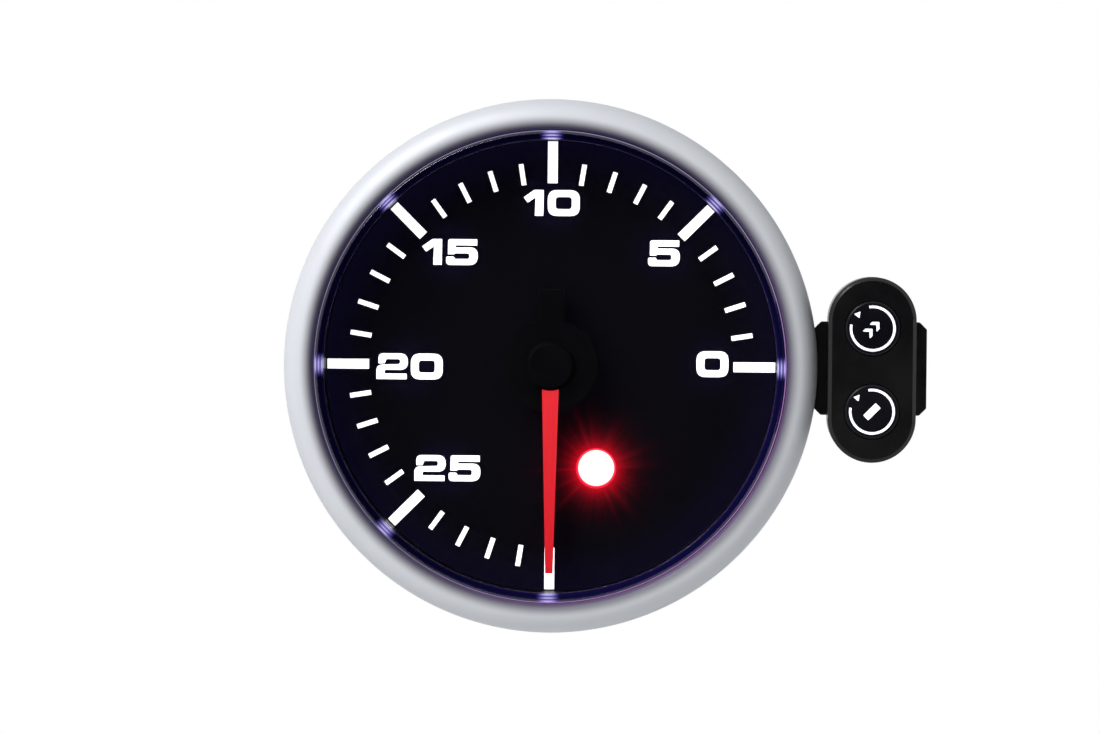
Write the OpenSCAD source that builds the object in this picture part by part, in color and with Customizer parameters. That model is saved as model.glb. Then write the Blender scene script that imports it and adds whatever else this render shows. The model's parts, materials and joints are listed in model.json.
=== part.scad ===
// Vacuum gauge for a panel hole, driven by a small stepper motor, with its two-button remote pad.
// Every piece is drawn in the dial's own frame: x to the right, y up, z towards the reader,
// and z = 0 on the front of the panel. dial_frame() then stands the dial upright, facing -Y.

/* [Can] */
// Depth of the can behind the panel
can_depth = 24; // [20:0.5:36]
// Wall of the can
can_wall = 1.2; // [1:0.1:1.3]
// How far the collar inside the gasket stands out from the can
collar_step = 0.4; // [0.35:0.05:0.6]
// How far the flange stands out from the can
flange_step = 1.4; // [1.2:0.1:1.6]
// Thickness of the flange
flange_t = 1.4; // [1:0.1:1.8]
// Height of the nose in front of the flange
nose_h = 1.2; // [1:0.1:1.6]
// How far the nose steps in from the can's outside
rim_step = 0.5; // [0.4:0.05:0.55]
// Width of the ledge inside that the circuit board rests on
ledge_w = 1.2; // [0.8:0.1:1.5]
// Width of the key that stops the dial from turning
key_w = 2; // [1.5:0.1:3]
// Height of the key above the bore
key_h = 0.4; // [0.3:0.05:0.45]
// Thickness of the panel gasket
gasket_t = 2; // [1.5:0.1:3]

/* [Bezel] */
// Outer diameter of the bezel
bezel_d = 66; // [60:0.5:90]
// How far the bezel reaches past the can
bezel_reach = 3; // [2.6:0.1:4]
// Height of the bezel from its back edge to its crown
bezel_h = 5.4; // [5:0.1:6]
// Depth of the snap groove in the nose
snap_depth = 0.3; // [0.2:0.05:0.35]
// Width of the snap bead
snap_w = 0.5; // [0.4:0.05:0.55]
// Thickness of the bezel's lip over the lens flange
lip_t = 0.4; // [0.3:0.05:0.5]

/* [Lens] */
// How far the part of the lens that stands proud lies inside the can's outside
lens_inset = 0.9; // [0.8:0.05:1.1]
// How far the lens flange reaches past it
lens_flange_w = 0.4; // [0.35:0.05:0.45]
// Thickness of the lens flange
lens_flange_t = 1; // [0.8:0.1:1.2]
// How far the lens stands proud of its flange
lens_proud = 1.8; // [1.6:0.1:2.2]
// Thickness of the lens's window
window_t = 2; // [1.6:0.1:2.2]
// Width of the chamfer round the lens
lens_chamfer = 0.9; // [0.6:0.1:1.1]
// Thickness of the seal under the lens
seal_t = 0.5; // [0.4:0.05:0.7]

/* [Dial] */
// Height of the dial's front above the panel
dial_up = 0.4; // [0.3:0.1:0.6]
// Thickness of the dial sheet
dial_t = 0.5; // [0.4:0.05:0.8]
// Wall of the black ring between dial and lens
ring_wall = 0.75; // [0.6:0.05:0.8]
// Highest reading on the scale
scale_top = 30; // [30:1:30]
// Number of marks from one long mark to the next
marks_per_long_mark = 5; // [5:1:5]
// Angle that the scale sweeps
scale_sweep = 270; // [270:1:270]
// Gap between the long marks and the black ring
mark_edge = 0.15; // [0.05:0.05:0.8]
// Length of a short mark
short_mark_l = 2.65; // [2:0.05:3]
// Length of a long mark
long_mark_l = 5.2; // [4:0.05:5.3]
// Width of a short mark
short_mark_w = 0.6; // [0.4:0.05:0.8]
// Width of a long mark
long_mark_w = 1.24; // [0.9:0.02:1.5]
// Height of the marks above the dial
mark_h = 0.1; // [0.05:0.01:0.2]

/* [Lighting] */
// Thickness of the clear light guide
guide_t = 3; // [2.5:0.1:3.5]
// Wall of the light box
box_wall = 1.2; // [0.8:0.1:1.6]
// Number of backlight lamps
lamp_count = 8; // [6:1:10]
// Side of a backlight lamp
lamp_side = 3.5; // [3:0.1:4]
// Height of a backlight lamp
lamp_h = 1.9; // [1.5:0.1:2]
// Diameter of the warning lamp's body
warning_d = 4.8; // [4.4:0.1:5]
// How far the warning lamp's rim stands out
warning_rim = 0.45; // [0.3:0.05:0.5]

/* [Pointer] */
// How far the pointer's tip reaches over the marks
blade_over = 3.05; // [0.5:0.05:4]
// Width of the blade at its root
blade_root_w = 2.04; // [1.6:0.02:2.2]
// Width of the blade at its tip
blade_tip_w = 0.9; // [0.6:0.05:1.2]
// Thickness of the blade
blade_t = 1.2; // [0.9:0.1:1.3]
// Height of the blade's underside above the panel
blade_up = 2.2; // [1.9:0.1:2.3]
// Radius of the black cap over the pointer's centre
cap_r = 3.05; // [2.8:0.05:3.4]
// Radius of the black disc below the cap
hub_r = 5.8; // [5:0.1:6.5]
// Reach of the tail behind the hub
tail_reach = 9.5; // [8:0.1:11]
// Width of the tail
tail_w = 3.2; // [2.6:0.1:3.6]
// Radius of the blade's boss round the shaft
boss_r = 2; // [1.6:0.1:2.2]
// Diameter of the pointer shaft
shaft_d = 1.5; // [1.3:0.1:1.8]

/* [Motor] */
// Width of the motor case
motor_w = 24; // [23.5:0.1:25]
// How far the motor case reaches above the shaft
motor_up = 8.9; // [8.5:0.1:9.5]
// How far the motor case reaches below the shaft
motor_down = 21.1; // [21:0.1:21.6]
// Depth of the motor case
motor_t = 8.2; // [8:0.1:9]
// Gap between the motor and the connector board
motor_gap = 1.1; // [0.8:0.1:3]
// Wall of the motor case
motor_wall = 0.8; // [0.7:0.05:0.9]
// Teeth of the output wheel
output_teeth = 120; // [120:1:120]
// Teeth of the idler wheel
idler_teeth = 96; // [96:1:96]
// Leaves of each pinion
pinion_leaves = 8; // [8:1:8]
// Module of the output pair
output_module = 0.12; // [0.12:0.01:0.12]
// Module of the idler pair
idler_module = 0.1; // [0.1:0.01:0.1]
// Thickness of the output wheel
output_wheel_t = 0.9; // [0.7:0.05:1]
// Thickness of the idler wheel
idler_wheel_t = 0.7; // [0.5:0.05:0.8]
// Diameter of the rotor magnet
magnet_d = 5; // [4.5:0.1:5.2]
// Length of the rotor magnet
magnet_l = 3; // [2.6:0.1:3.1]
// Diameter of a motor coil
coil_d = 4; // [3.6:0.1:4]
// Length of a motor coil
coil_l = 5.4; // [5:0.1:5.8]

/* [Boards and sockets] */
// Thickness of both boards
board_t = 1.6; // [1.2:0.1:1.6]
// Gap between the connector board and the screw bosses
link_board_gap = 0.9; // [0.6:0.1:2]
// Height of the connector board above the rear cover
link_board_up = 2.4; // [2.1:0.1:2.8]
// Distance between socket pins
pin_pitch = 2; // [1.8:0.1:2.2]
// Width of a pin
pin_w = 0.5; // [0.4:0.05:0.6]
// Height of a socket across its row of pins
socket_h = 4.8; // [4.6:0.1:5]
// Depth of a socket from its board
socket_depth = 5.8; // [5.4:0.1:6.6]
// Wall of a socket
socket_wall = 0.6; // [0.5:0.05:0.8]
// Pins in the power socket
power_pins = 5; // [4:1:5]
// Pins in the sensor socket
sensor_pins = 3; // [2:1:3]
// Pins in the socket for the remote pad
remote_pins = 4; // [3:1:4]

/* [Rear cover] */
// Thickness of the rear cover
cover_t = 2; // [1.6:0.1:2.4]
// How far the rear cover's edge stays inside the can
cover_inset = 0.4; // [0.35:0.05:0.6]
// Number of cover screws
screw_count = 3; // [3:1:4]
// Diameter of a cover screw
screw_d = 2.6; // [2:0.1:2.8]
// Length of a cover screw under its head
screw_l = 7; // [5:0.5:7.5]
// Radius of a screw boss in the can
screw_boss_r = 2.4; // [2.2:0.1:2.6]
// Diameter of a mounting stud
stud_d = 4; // [3.5:0.1:4.5]
// Distance between the mounting studs
stud_spacing = 36; // [34:0.5:37]
// How far a stud stands out behind the cover
stud_l = 12; // [8:0.5:16]

/* [Remote pad] */
// Gap between the bezel and the pad as they lie side by side
pad_gap = 1.2; // [1.2:0.1:20]
// Width of the pad
pad_w = 10.8; // [10.6:0.1:11.2]
// Height of the pad
pad_h = 22.8; // [20:0.2:30]
// Height of the pad's lower case
pad_case_h = 4.7; // [4.5:0.1:6]
// Height of the pad's cover
pad_cover_h = 2.6; // [2.4:0.1:3]
// Wall of the pad
pad_wall = 1.1; // [1:0.05:1.2]
// Width of the chamfer round the cover's face
pad_chamfer = 0.45; // [0.3:0.05:0.6]
// Diameter of a button
button_d = 6.8; // [6.4:0.1:7]
// How far a button stands out at rest
button_proud = 0.2; // [0.15:0.05:0.4]
// Travel of a button
button_travel = 0.3; // [0.2:0.05:0.35]
// Width of the bracket behind the pad
bracket_w = 14; // [13.6:0.1:14]
// Height of the bracket
bracket_h = 11.6; // [10:0.1:12]
// Thickness of the bracket's plate
bracket_t = 1.1; // [0.9:0.1:1.1]
// Width of the bracket's rail, which the pad's back slides over
rail_w = 6; // [4:0.1:7]
// Height of the bracket's rail
rail_h = 0.6; // [0.4:0.05:0.7]
// Bevel on the bracket's corners
bracket_bevel = 0.9; // [0.6:0.1:1.4]
// Thickness of the foam tape
tape_t = 0.6; // [0.4:0.05:0.6]
// Width of the cable inlet
inlet_w = 3; // [2.5:0.1:3.5]

/* [Hidden] */
$fn = 96;

// Clearances
cut = 1;
fit = 0.05;
gap = 0.1;
running = 0.03;
loose = 0.2;

// Radii of the can, from its outside to its ledge
can_d = bezel_d - 2 * bezel_reach;
can_r = can_d / 2;
bore_r = can_r - can_wall;
ledge_r = bore_r - ledge_w;
collar_r = can_r + collar_step;
flange_r = can_r + flange_step;
rim_r = can_r - rim_step;
inner_r = bore_r - gap;
boss_at_r = ledge_r - screw_boss_r + gap;
ring_in_r = bore_r - fit - ring_wall;
lens_d = can_d - 2 * lens_inset;
mark_in_r = ring_in_r - mark_edge - long_mark_l;

// Heights along the dial's axis, from the front to the back
flange_z = gasket_t + flange_t;
rim_z = flange_z + nose_h;
lens_z = rim_z + seal_t;
lens_step_z = lens_z + lens_flange_t;
lens_top = lens_step_z + lens_proud;
crown_z = gasket_t + bezel_h;
dial_back = dial_up - dial_t;
guide_back = dial_back - guide_t;
cover_front = -can_depth;
cover_back = cover_front - cover_t;
link_back = cover_front + link_board_up;
link_front = link_back + board_t;
motor_back = link_front + motor_gap;
board_back = motor_back + motor_t;
board_front = board_back + board_t;
box_floor_share = 0.2;
box_floor = board_front + box_floor_share * (guide_back - board_front);

// Heights inside the motor
plate_in = board_back - motor_wall;
base_in = motor_back + motor_wall;
motor_split = (board_back + motor_back) / 2;
float_z = 0.3;
output_front = plate_in - float_z;
output_back = output_front - output_wheel_t;
stop_h = 0.45;
idler_front = output_back - stop_h - 2 * gap;
idler_back = idler_front - idler_wheel_t;
magnet_back = base_in + 2 * float_z;
magnet_front = magnet_back + magnet_l;
stator_t = 0.8;
stator_z = magnet_back + (magnet_l - stator_t) / 2;

// Gears: pitch radii and centre distances
output_r = output_teeth * output_module / 2;
output_pinion_r = pinion_leaves * output_module / 2;
idler_r = idler_teeth * idler_module / 2;
rotor_pinion_r = pinion_leaves * idler_module / 2;
idler_y = -(output_r + output_pinion_r);
rotor_y = idler_y - idler_r - rotor_pinion_r;
pivot_r = 0.2;
pivot_l = 0.45;
rotor_core_r = 0.6;
shaft_r = shaft_d / 2;
nose_r = 2;
wheel_hub_r = 1.6;

// Shares of the module and of the tooth pitch
wheel_top_share = 1;
wheel_root_share = 1.3;
pinion_top_share = 0.75;
pinion_bottom_share = 1.45;
wheel_shares = [0.72, 0.28];
pinion_shares = [0.62, 0.24];

// Travel stop inside the motor
stop_in_r = 4.8;
stop_out_r = 6.4;
stop_tab_half = 8;
stop_gap = 1;
stop_arc_half = (360 - scale_sweep) / 2 - stop_tab_half - stop_gap;
stop_at = 90;

// Stator and coils
stator_in_r = magnet_d / 2 + float_z;
stator_ring_w = 1.4;
leg_w = 1.6;
coil_gap = 0.95;
leg_x = motor_w / 2 - motor_wall - coil_gap - coil_d / 2;
arm_up = 2.5;
yoke_down = 6.5;
leg_top = rotor_y + arm_up;
yoke_y = rotor_y - yoke_down;
coil_y = (leg_top + yoke_y) / 2;
coil_flange_t = 0.35;
motor_pin_in = 1.7;
motor_pin_step = 0.2;
motor_pin_x = motor_w / 2 - motor_pin_in;
motor_pin_ys = [yoke_y - motor_pin_step, leg_top - motor_pin_step];
motor_pin_r = 0.3;
motor_corner_r = 2;

// Lighting
guide_hole_r = boss_r + 1;
lamp_room = 0.35;
lamp_ring_share = 0.68;
lamp_ring_r = lamp_ring_share * inner_r;
warning_shares = [0.2036, -0.4554];
warning_x = warning_shares.x * ring_in_r;
warning_y = warning_shares.y * ring_in_r;
warning_r = warning_d / 2;
warning_proud = 0.3;
warning_stand = 1.2;
warning_top = dial_up + warning_proud;
warning_foot = board_front + warning_stand;
warning_rim_t = 1;
warning_sleeve_r = warning_r + warning_rim + loose;
lead_w = 0.5;
lead_pitch = 2.54;
sleeve_wall = 0.8;

// Pointer
blade_reach = mark_in_r + blade_over;
hub_bottom = blade_up - 2 * loose;
hub_top = blade_up + blade_t - gap;
cap_h = 0.9;
cap_bevel = 0.4;
boss_gap = 0.5;
boss_bottom = dial_up + boss_gap;
dial_hole_r = boss_r + 2 * loose;

// Parts on the boards
chip_w = 7;
chip_h = 1.4;
chip_share = -0.52;
chip_gap = 0.6;
chip_lead_l = 1;
chip_x = chip_share * inner_r;
chip_y = motor_up + chip_gap + chip_lead_l + chip_w / 2;
chip_lead_share = 0.8;
capacitor_r = 3;
capacitor_h = 7;
capacitor_foot_h = 1.2;
capacitor_shares = [[0.54, 0.49], [0.635, 0.245]];
header_pins_across = 5;
header_pitch = 2.54;
header_share = 0.51;
header_y = header_share * inner_r;
header_end = 0.6;
header_h = 2 * header_pitch;
header_w = header_pins_across * header_pitch;
socket_floor = 1.2;
socket_pin_tip = 1.4;
socket_end = 0.9;
key_notch_w = 1.5;
power_shares = [0, -0.545];
sensor_shares = [-0.345, 0.327];
remote_shares = [0.345, 0.327];
link_board_r = boss_at_r - screw_boss_r - link_board_gap;
sockets = [[power_shares * link_board_r, power_pins],
           [sensor_shares * link_board_r, sensor_pins],
           [remote_shares * link_board_r, remote_pins]];
post_r = 1.6;
post_shares = [[-0.727, -0.409], [0.727, -0.409], [0, 0.859]];
post_pin_r = 0.7;
post_pin_out = 0.5;

// Rear cover
cover_r = can_r - cover_inset;
cover_edge = 0.6;
spigot_h = 1.6;
spigot_wall = 1.2;
boss_h = 8;
screw_turn = 30;
screw_head_r = 2.5;
screw_head_h = 1.6;
screw_head_flat_share = 0.7;
drive_w = 0.8;
stud_head_r = 3.4;
stud_head_t = 1;
stud_neck_step = 0.3;
stud_neck_r = stud_d / 2 + stud_neck_step;
stud_bevel = 0.4;

// Bezel
skirt_r = flange_r + gap;
nose_clear_r = rim_r + gap;
lip_gap = 0.15;
side_w = 2.2;
side_drop = 0.3;
foot_in = 0.7;
lip_r = lens_d / 2 + lip_gap;
lip_z = lens_step_z + gap;
shoulder_r = bezel_d / 2 - side_w;
side_z = (gasket_t + crown_z) / 2 - side_drop;
foot_r = bezel_d / 2 - foot_in;
arc_steps = 10;
snap_z = flange_z + (nose_h - snap_w) / 2;
gasket_r = skirt_r;

// Remote pad
pad_x = bezel_d / 2 + pad_gap + pad_w / 2;
button_pitch_share = 0.4474;
button_pitch = button_pitch_share * pad_h;
pad_back = tape_t + bracket_t;
pad_split = pad_back + pad_case_h;
pad_face = pad_split + pad_cover_h;
pad_floor = 1.4;
pad_face_t = 1.2;
pad_rest_h = 0.5;
pad_board_t = 1;
pad_board_gap = 0.25;
pad_rest_w = 1;
spigot_t = 0.6;
spigot_l = 0.9;
pad_shelf_h = 0.4;
pad_board_back = pad_back + pad_floor + pad_rest_h;
pad_board_front = pad_board_back + pad_board_t;
switch_w = 6;
plunger_r = 1.5;
plunger_in = 0.7;
plunger_out = button_travel + loose;
button_r = button_d / 2;
button_flange_w = 0.45;
button_flange_t = 0.5;
button_top = pad_face + button_proud;
button_flange_top = pad_face - pad_face_t - fit;
button_flange_back = button_flange_top - button_flange_t;
button_edge = 0.25;
dish_depth = 0.12;
switch_h = button_flange_back - plunger_out - pad_board_front;
tape_inset = 0.4;
inlet_h = 2.2;

// Helpers

module dial_frame() {
    rotate([90, 0, 0])
        children();
}

module pad_frame() {
    dial_frame()
        translate([pad_x, 0, 0])
            children();
}

module rod(r, from_z, to_z) {
    translate([0, 0, from_z])
        cylinder(r = r, h = to_z - from_z);
}

module tube(outer_r, inner_r, from_z, to_z) {
    difference() {
        rod(outer_r, from_z, to_z);
        rod(inner_r, from_z - cut, to_z + cut);
    }
}

module block(size_x, size_y, from_z, to_z) {
    translate([-size_x / 2, -size_y / 2, from_z])
        cube([size_x, size_y, to_z - from_z]);
}

module turned(points) {
    rotate_extrude()
        polygon(points);
}

module extruded(from_z, to_z) {
    translate([0, 0, from_z])
        linear_extrude(height = to_z - from_z)
            children();
}

// The slot that takes the can's key, at twelve o'clock
module key_slot() {
    translate([0, bore_r, 0])
        block(key_w + 2 * gap, 2 * (key_h + gap), -can_depth, lens_z + cut);
}

function arc(centre_r, centre_z, half_w, half_h, from_a, to_a) =
    [for (i = [0 : arc_steps])
        let (a = from_a + (to_a - from_a) * i / arc_steps)
            [centre_r + half_w * cos(a), centre_z + half_h * sin(a)]];

function polar(r, a) = [r * cos(a), r * sin(a)];

// Front of the gauge

module bezel() {
    outline = concat(
        [[nose_clear_r, lip_z], [lip_r, lip_z]],
        arc(shoulder_r, lip_z + lip_t, shoulder_r - lip_r, crown_z - lip_z - lip_t, 180, 90),
        arc(shoulder_r, side_z, bezel_d / 2 - shoulder_r, crown_z - side_z, 90 - 90 / arc_steps, 0),
        arc(foot_r, side_z, bezel_d / 2 - foot_r, side_z - gasket_t, -90 / arc_steps, -90),
        [[skirt_r, gasket_t], [skirt_r, flange_z + fit], [nose_clear_r, flange_z + fit],
         [nose_clear_r, snap_z], [nose_clear_r - snap_depth, snap_z + gap],
         [nose_clear_r - snap_depth, snap_z + snap_w - gap], [nose_clear_r, snap_z + snap_w]]);
    color("silver")
        dial_frame()
            turned(outline);
}

module lens() {
    proud_r = lens_d / 2;
    color("white", 0.3)
        dial_frame()
            turned([
                [0, lens_top - window_t], [ring_in_r, lens_top - window_t], [ring_in_r, lens_z],
                [proud_r + lens_flange_w, lens_z], [proud_r + lens_flange_w, lens_step_z],
                [proud_r, lens_step_z], [proud_r, lens_top - lens_chamfer],
                [proud_r - lens_chamfer, lens_top], [0, lens_top]]);
}

module lens_seal() {
    color("dimgray")
        dial_frame()
            tube(rim_r - gap, bore_r + gap, rim_z, lens_z);
}

module dial_ring() {
    color("black")
        dial_frame()
            difference() {
                tube(bore_r - fit, ring_in_r, dial_up, lens_z - fit);
                key_slot();
            }
}

module dial_face() {
    color("black")
        dial_frame()
            difference() {
                rod(inner_r, dial_back, dial_up);
                rod(dial_hole_r, dial_back - cut, dial_up + cut);
                translate([warning_x, warning_y, 0])
                    rod(warning_r + gap, dial_back - cut, dial_up + cut);
                key_slot();
            }
}

module scale_marks() {
    color("white")
        dial_frame()
            for (reading = [0 : scale_top])
                rotate([0, 0, reading * scale_sweep / scale_top])
                    if (reading % marks_per_long_mark == 0)
                        scale_mark(long_mark_l, long_mark_w);
                    else
                        scale_mark(short_mark_l, short_mark_w);
}

module scale_mark(mark_l, mark_w) {
    translate([mark_in_r, -mark_w / 2, dial_up])
        cube([mark_l, mark_w, mark_h]);
}

// Lighting

module light_guide() {
    groove_w = lamp_side / 2;
    color("lightcyan", 0.6)
        dial_frame()
            difference() {
                rod(inner_r, guide_back, dial_back);
                rod(guide_hole_r, guide_back - cut, dial_back + cut);
                turned([
                    [lamp_ring_r - groove_w, guide_back - fit], [lamp_ring_r, guide_back + guide_t / 3],
                    [lamp_ring_r + groove_w, guide_back - fit]]);
                translate([warning_x, warning_y, 0])
                    rod(warning_sleeve_r + sleeve_wall + gap, guide_back - cut, dial_back + cut);
                key_slot();
            }
}

module light_box() {
    color("white")
        dial_frame()
            difference() {
                union() {
                    tube(inner_r, inner_r - box_wall, board_front, guide_back);
                    tube(inner_r - box_wall / 2, nose_r + 2 * loose, box_floor, box_floor + sleeve_wall);
                    tube(guide_hole_r + sleeve_wall, nose_r + 2 * loose, box_floor, guide_back);
                    translate([warning_x, warning_y, 0])
                        tube(warning_sleeve_r + sleeve_wall, warning_sleeve_r, box_floor, dial_back);
                }
                lamp_ring()
                    block(lamp_side + 2 * lamp_room, lamp_side + 2 * lamp_room, board_front, guide_back);
                translate([warning_x, warning_y, 0])
                    rod(warning_sleeve_r, board_front, dial_back + cut);
                key_slot();
            }
}

module lamp_ring() {
    for (i = [0 : lamp_count - 1])
        rotate([0, 0, i * 360 / lamp_count])
            translate([lamp_ring_r, 0, 0])
                children();
}

module backlight_leds() {
    color("gold")
        dial_frame()
            lamp_ring()
                block(lamp_side, lamp_side, board_front, board_front + lamp_h);
}

module warning_led() {
    dome_z = warning_top - warning_r;
    color("red")
        dial_frame()
            translate([warning_x, warning_y, 0]) {
                turned(concat(
                    [[0, warning_foot], [warning_r + warning_rim, warning_foot],
                     [warning_r + warning_rim, warning_foot + warning_rim_t],
                     [warning_r, warning_foot + warning_rim_t]],
                    arc(0, dome_z, warning_r, warning_r, 0, 90)));
                warning_leads()
                    block(lead_w, lead_w, board_back + fit, warning_foot + fit);
            }
}

module warning_leads() {
    for (side = [-1, 1])
        translate([side * lead_pitch / 2, 0, 0])
            children();
}

// Boards

module circuit_board() {
    color("darkgreen")
        dial_frame()
            difference() {
                rod(inner_r, board_back, board_front);
                rod(nose_r + loose, board_back - cut, board_front + cut);
                translate([warning_x, warning_y, 0])
                    warning_leads()
                        block(lead_w + gap, lead_w + gap, board_back - cut, board_front + cut);
                header_grid()
                    block(pin_w + gap, pin_w + gap, board_back - cut, board_front + cut);
                motor_pin_places()
                    rod(motor_pin_r + gap, board_back - cut, board_front + cut);
                key_slot();
            }
}

module control_chip() {
    color("dimgray")
        dial_frame()
            translate([chip_x, chip_y, 0]) {
                block(chip_w, chip_w, board_back - chip_h, board_back - gap);
                for (turn = [0, 90])
                    rotate([0, 0, turn])
                        block(chip_w + 2 * chip_lead_l, chip_w * chip_lead_share,
                              board_back - gap - chip_h / 4, board_back);
            }
}

module board_capacitors() {
    color("slategray")
        dial_frame()
            for (share = capacitor_shares)
                translate([share.x * inner_r, share.y * inner_r, 0]) {
                    block(2 * capacitor_r + loose, 2 * capacitor_r + loose, board_back - capacitor_foot_h,
                          board_back);
                    rod(capacitor_r, board_back - capacitor_h, board_back - capacitor_foot_h + gap);
                }
}

module header_grid() {
    for (column = [0 : header_pins_across - 1], row = [0, 1])
        translate([(column - (header_pins_across - 1) / 2) * header_pitch,
                   header_y + (row - 0.5) * header_pitch, 0])
            children();
}

module board_header() {
    color("dimgray")
        dial_frame()
            difference() {
                translate([0, header_y, 0])
                    block(header_w, header_h, link_front, board_back);
                header_grid()
                    block(pin_w + gap, pin_w + gap, link_front - cut, board_back + cut);
            }
}

module header_pins() {
    color("goldenrod")
        dial_frame()
            header_grid()
                block(pin_w, pin_w, link_back - header_end, board_front + header_end);
}

module connector_board() {
    color("darkgreen")
        dial_frame()
            difference() {
                rod(link_board_r, link_back, link_front);
                header_grid()
                    block(pin_w + gap, pin_w + gap, link_back - cut, link_front + cut);
                for (place_and_pins = sockets)
                    socket_pin_row(place_and_pins)
                        block(pin_w + gap, pin_w + gap, link_back - cut, link_front + cut);
                post_places()
                    rod(post_pin_r + gap, link_back - cut, link_front + cut);
            }
}

module post_places() {
    for (share = post_shares)
        translate([share.x * link_board_r, share.y * link_board_r, 0])
            children();
}

// Sockets

function socket_w(pins) = (pins - 1) * pin_pitch + 2 * (socket_end + socket_wall);

module socket_pin_row(place_and_pins) {
    last = place_and_pins[1] - 1;
    translate([place_and_pins[0].x, place_and_pins[0].y, 0])
        for (i = [0 : last])
            translate([(i - last / 2) * pin_pitch, 0, 0])
                children();
}

module socket(place_and_pins) {
    place = place_and_pins[0];
    pins = place_and_pins[1];
    width = socket_w(pins);
    mouth = link_back - socket_depth;
    difference() {
        translate([place.x, place.y, 0])
            difference() {
                block(width, socket_h, mouth, link_back);
                block(width - 2 * socket_wall, socket_h - 2 * socket_wall, mouth - cut,
                      link_back - socket_floor);
                translate([0, socket_h / 2, 0])
                    block(key_notch_w, 2 * socket_wall + gap, mouth - cut, mouth + socket_depth / 3);
            }
        socket_pin_row(place_and_pins)
            block(pin_w + gap, pin_w + gap, link_back - socket_floor - cut, link_back + cut);
    }
}

module power_socket() {
    color("ivory")
        dial_frame()
            socket(sockets[0]);
}

module sensor_socket() {
    color("ivory")
        dial_frame()
            socket(sockets[1]);
}

module remote_socket() {
    color("ivory")
        dial_frame()
            socket(sockets[2]);
}

module socket_pins() {
    color("goldenrod")
        dial_frame()
            for (place_and_pins = sockets)
                socket_pin_row(place_and_pins)
                    block(pin_w, pin_w, link_back - socket_depth + socket_pin_tip, link_front + header_end);
}

// Motor

module motor_outline(inset) {
    right = motor_w / 2 - motor_corner_r;
    top = motor_up - motor_corner_r;
    bottom = motor_corner_r - motor_down;
    corner = motor_corner_r - inset;
    polygon(concat(
        arc(right, top, corner, corner, 0, 90), arc(-right, top, corner, corner, 90, 180),
        arc(-right, bottom, corner, corner, 180, 270), arc(right, bottom, corner, corner, 270, 360)));
}

module motor_pin_places() {
    for (side = [-1, 1], y = motor_pin_ys)
        translate([side * motor_pin_x, y, 0])
            children();
}

module motor_front_case() {
    color("whitesmoke")
        dial_frame()
            difference() {
                union() {
                    extruded(plate_in, board_back)
                        motor_outline(0);
                    extruded(motor_split, plate_in)
                        difference() {
                            motor_outline(0);
                            motor_outline(motor_wall);
                        }
                    rod(nose_r, board_back, box_floor + sleeve_wall);
                    translate([0, rotor_y, 0])
                        rod(2 * motor_wall, output_back, plate_in);
                }
                rod(shaft_r + running, motor_back, box_floor + cut);
                translate([0, idler_y, 0])
                    rod(pivot_r + running, motor_split, plate_in + pivot_l + fit);
                translate([0, rotor_y, 0])
                    rod(pivot_r + running, motor_split, output_back + pivot_l + fit);
                motor_pin_places()
                    rod(motor_pin_r + gap, motor_split, board_back + cut);
            }
}

module motor_rear_case() {
    color("whitesmoke")
        dial_frame()
            difference() {
                union() {
                    extruded(motor_back, base_in)
                        motor_outline(0);
                    extruded(base_in, motor_split)
                        difference() {
                            motor_outline(0);
                            motor_outline(motor_wall);
                        }
                    rod(wheel_hub_r, base_in, idler_back - float_z);
                    translate([0, idler_y, 0])
                        rod(motor_wall, base_in, idler_back - gap);
                    stop_arc(stop_at, stop_arc_half, base_in, output_back - gap);
                }
                rod(shaft_r + running, base_in - motor_wall / 2, idler_back);
                translate([0, idler_y, 0])
                    rod(pivot_r + running, idler_back - gap - pivot_l - fit, idler_back);
                translate([0, rotor_y, 0])
                    rod(pivot_r + running, base_in - pivot_l - fit, magnet_back);
            }
}

module stop_arc(at, half, from_z, to_z) {
    translate([0, 0, from_z])
        rotate([0, 0, at - half])
            rotate_extrude(angle = 2 * half)
                translate([stop_in_r, 0])
                    square([stop_out_r - stop_in_r, to_z - from_z]);
}

module motor_stator() {
    color("lightgray")
        dial_frame()
            extruded(stator_z, stator_z + stator_t)
                difference() {
                    union() {
                        translate([0, rotor_y])
                            circle(r = stator_in_r + stator_ring_w);
                        for (side = [-1, 1])
                            translate([side * leg_x - leg_w / 2, yoke_y])
                                square([leg_w, leg_top - yoke_y]);
                        translate([-leg_x, leg_top - leg_w])
                            square([2 * leg_x, leg_w]);
                        translate([-leg_x, yoke_y])
                            square([2 * leg_x, leg_w]);
                        translate([-leg_w / 2, yoke_y])
                            square([leg_w, rotor_y - yoke_y]);
                    }
                    translate([0, rotor_y])
                        circle(r = stator_in_r);
                }
}

module motor_coils() {
    color("peru")
        dial_frame()
            for (side = [-1, 1])
                translate([side * leg_x, coil_y, stator_z + stator_t / 2])
                    rotate([90, 0, 0])
                        difference() {
                            union() {
                                cylinder(r = coil_d / 2 - coil_flange_t, h = coil_l, center = true);
                                for (end = [-1, 1])
                                    translate([0, 0, end * (coil_l - coil_flange_t) / 2])
                                        cylinder(r = coil_d / 2, h = coil_flange_t, center = true);
                            }
                            cube([leg_w + gap, stator_t + gap, coil_l + cut], center = true);
                        }
}

module motor_pins() {
    color("goldenrod")
        dial_frame()
            motor_pin_places()
                rod(motor_pin_r, base_in, board_front + header_end);
}

// Gear train

// One tooth of a wheel: its flanks run straight from the root circle to the tip circle
function tooth(root_r, tip_r, root_half, tip_half, at) = [
    polar(root_r, at - root_half), polar(tip_r, at - tip_half),
    polar(tip_r, at + tip_half), polar(root_r, at + root_half)];

function gear_outline(teeth, root_r, tip_r, shares, turn) =
    [for (k = [0 : teeth - 1], p = tooth(root_r, tip_r, shares[0] * 180 / teeth,
                                         shares[1] * 180 / teeth, turn + k * 360 / teeth)) p];

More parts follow.
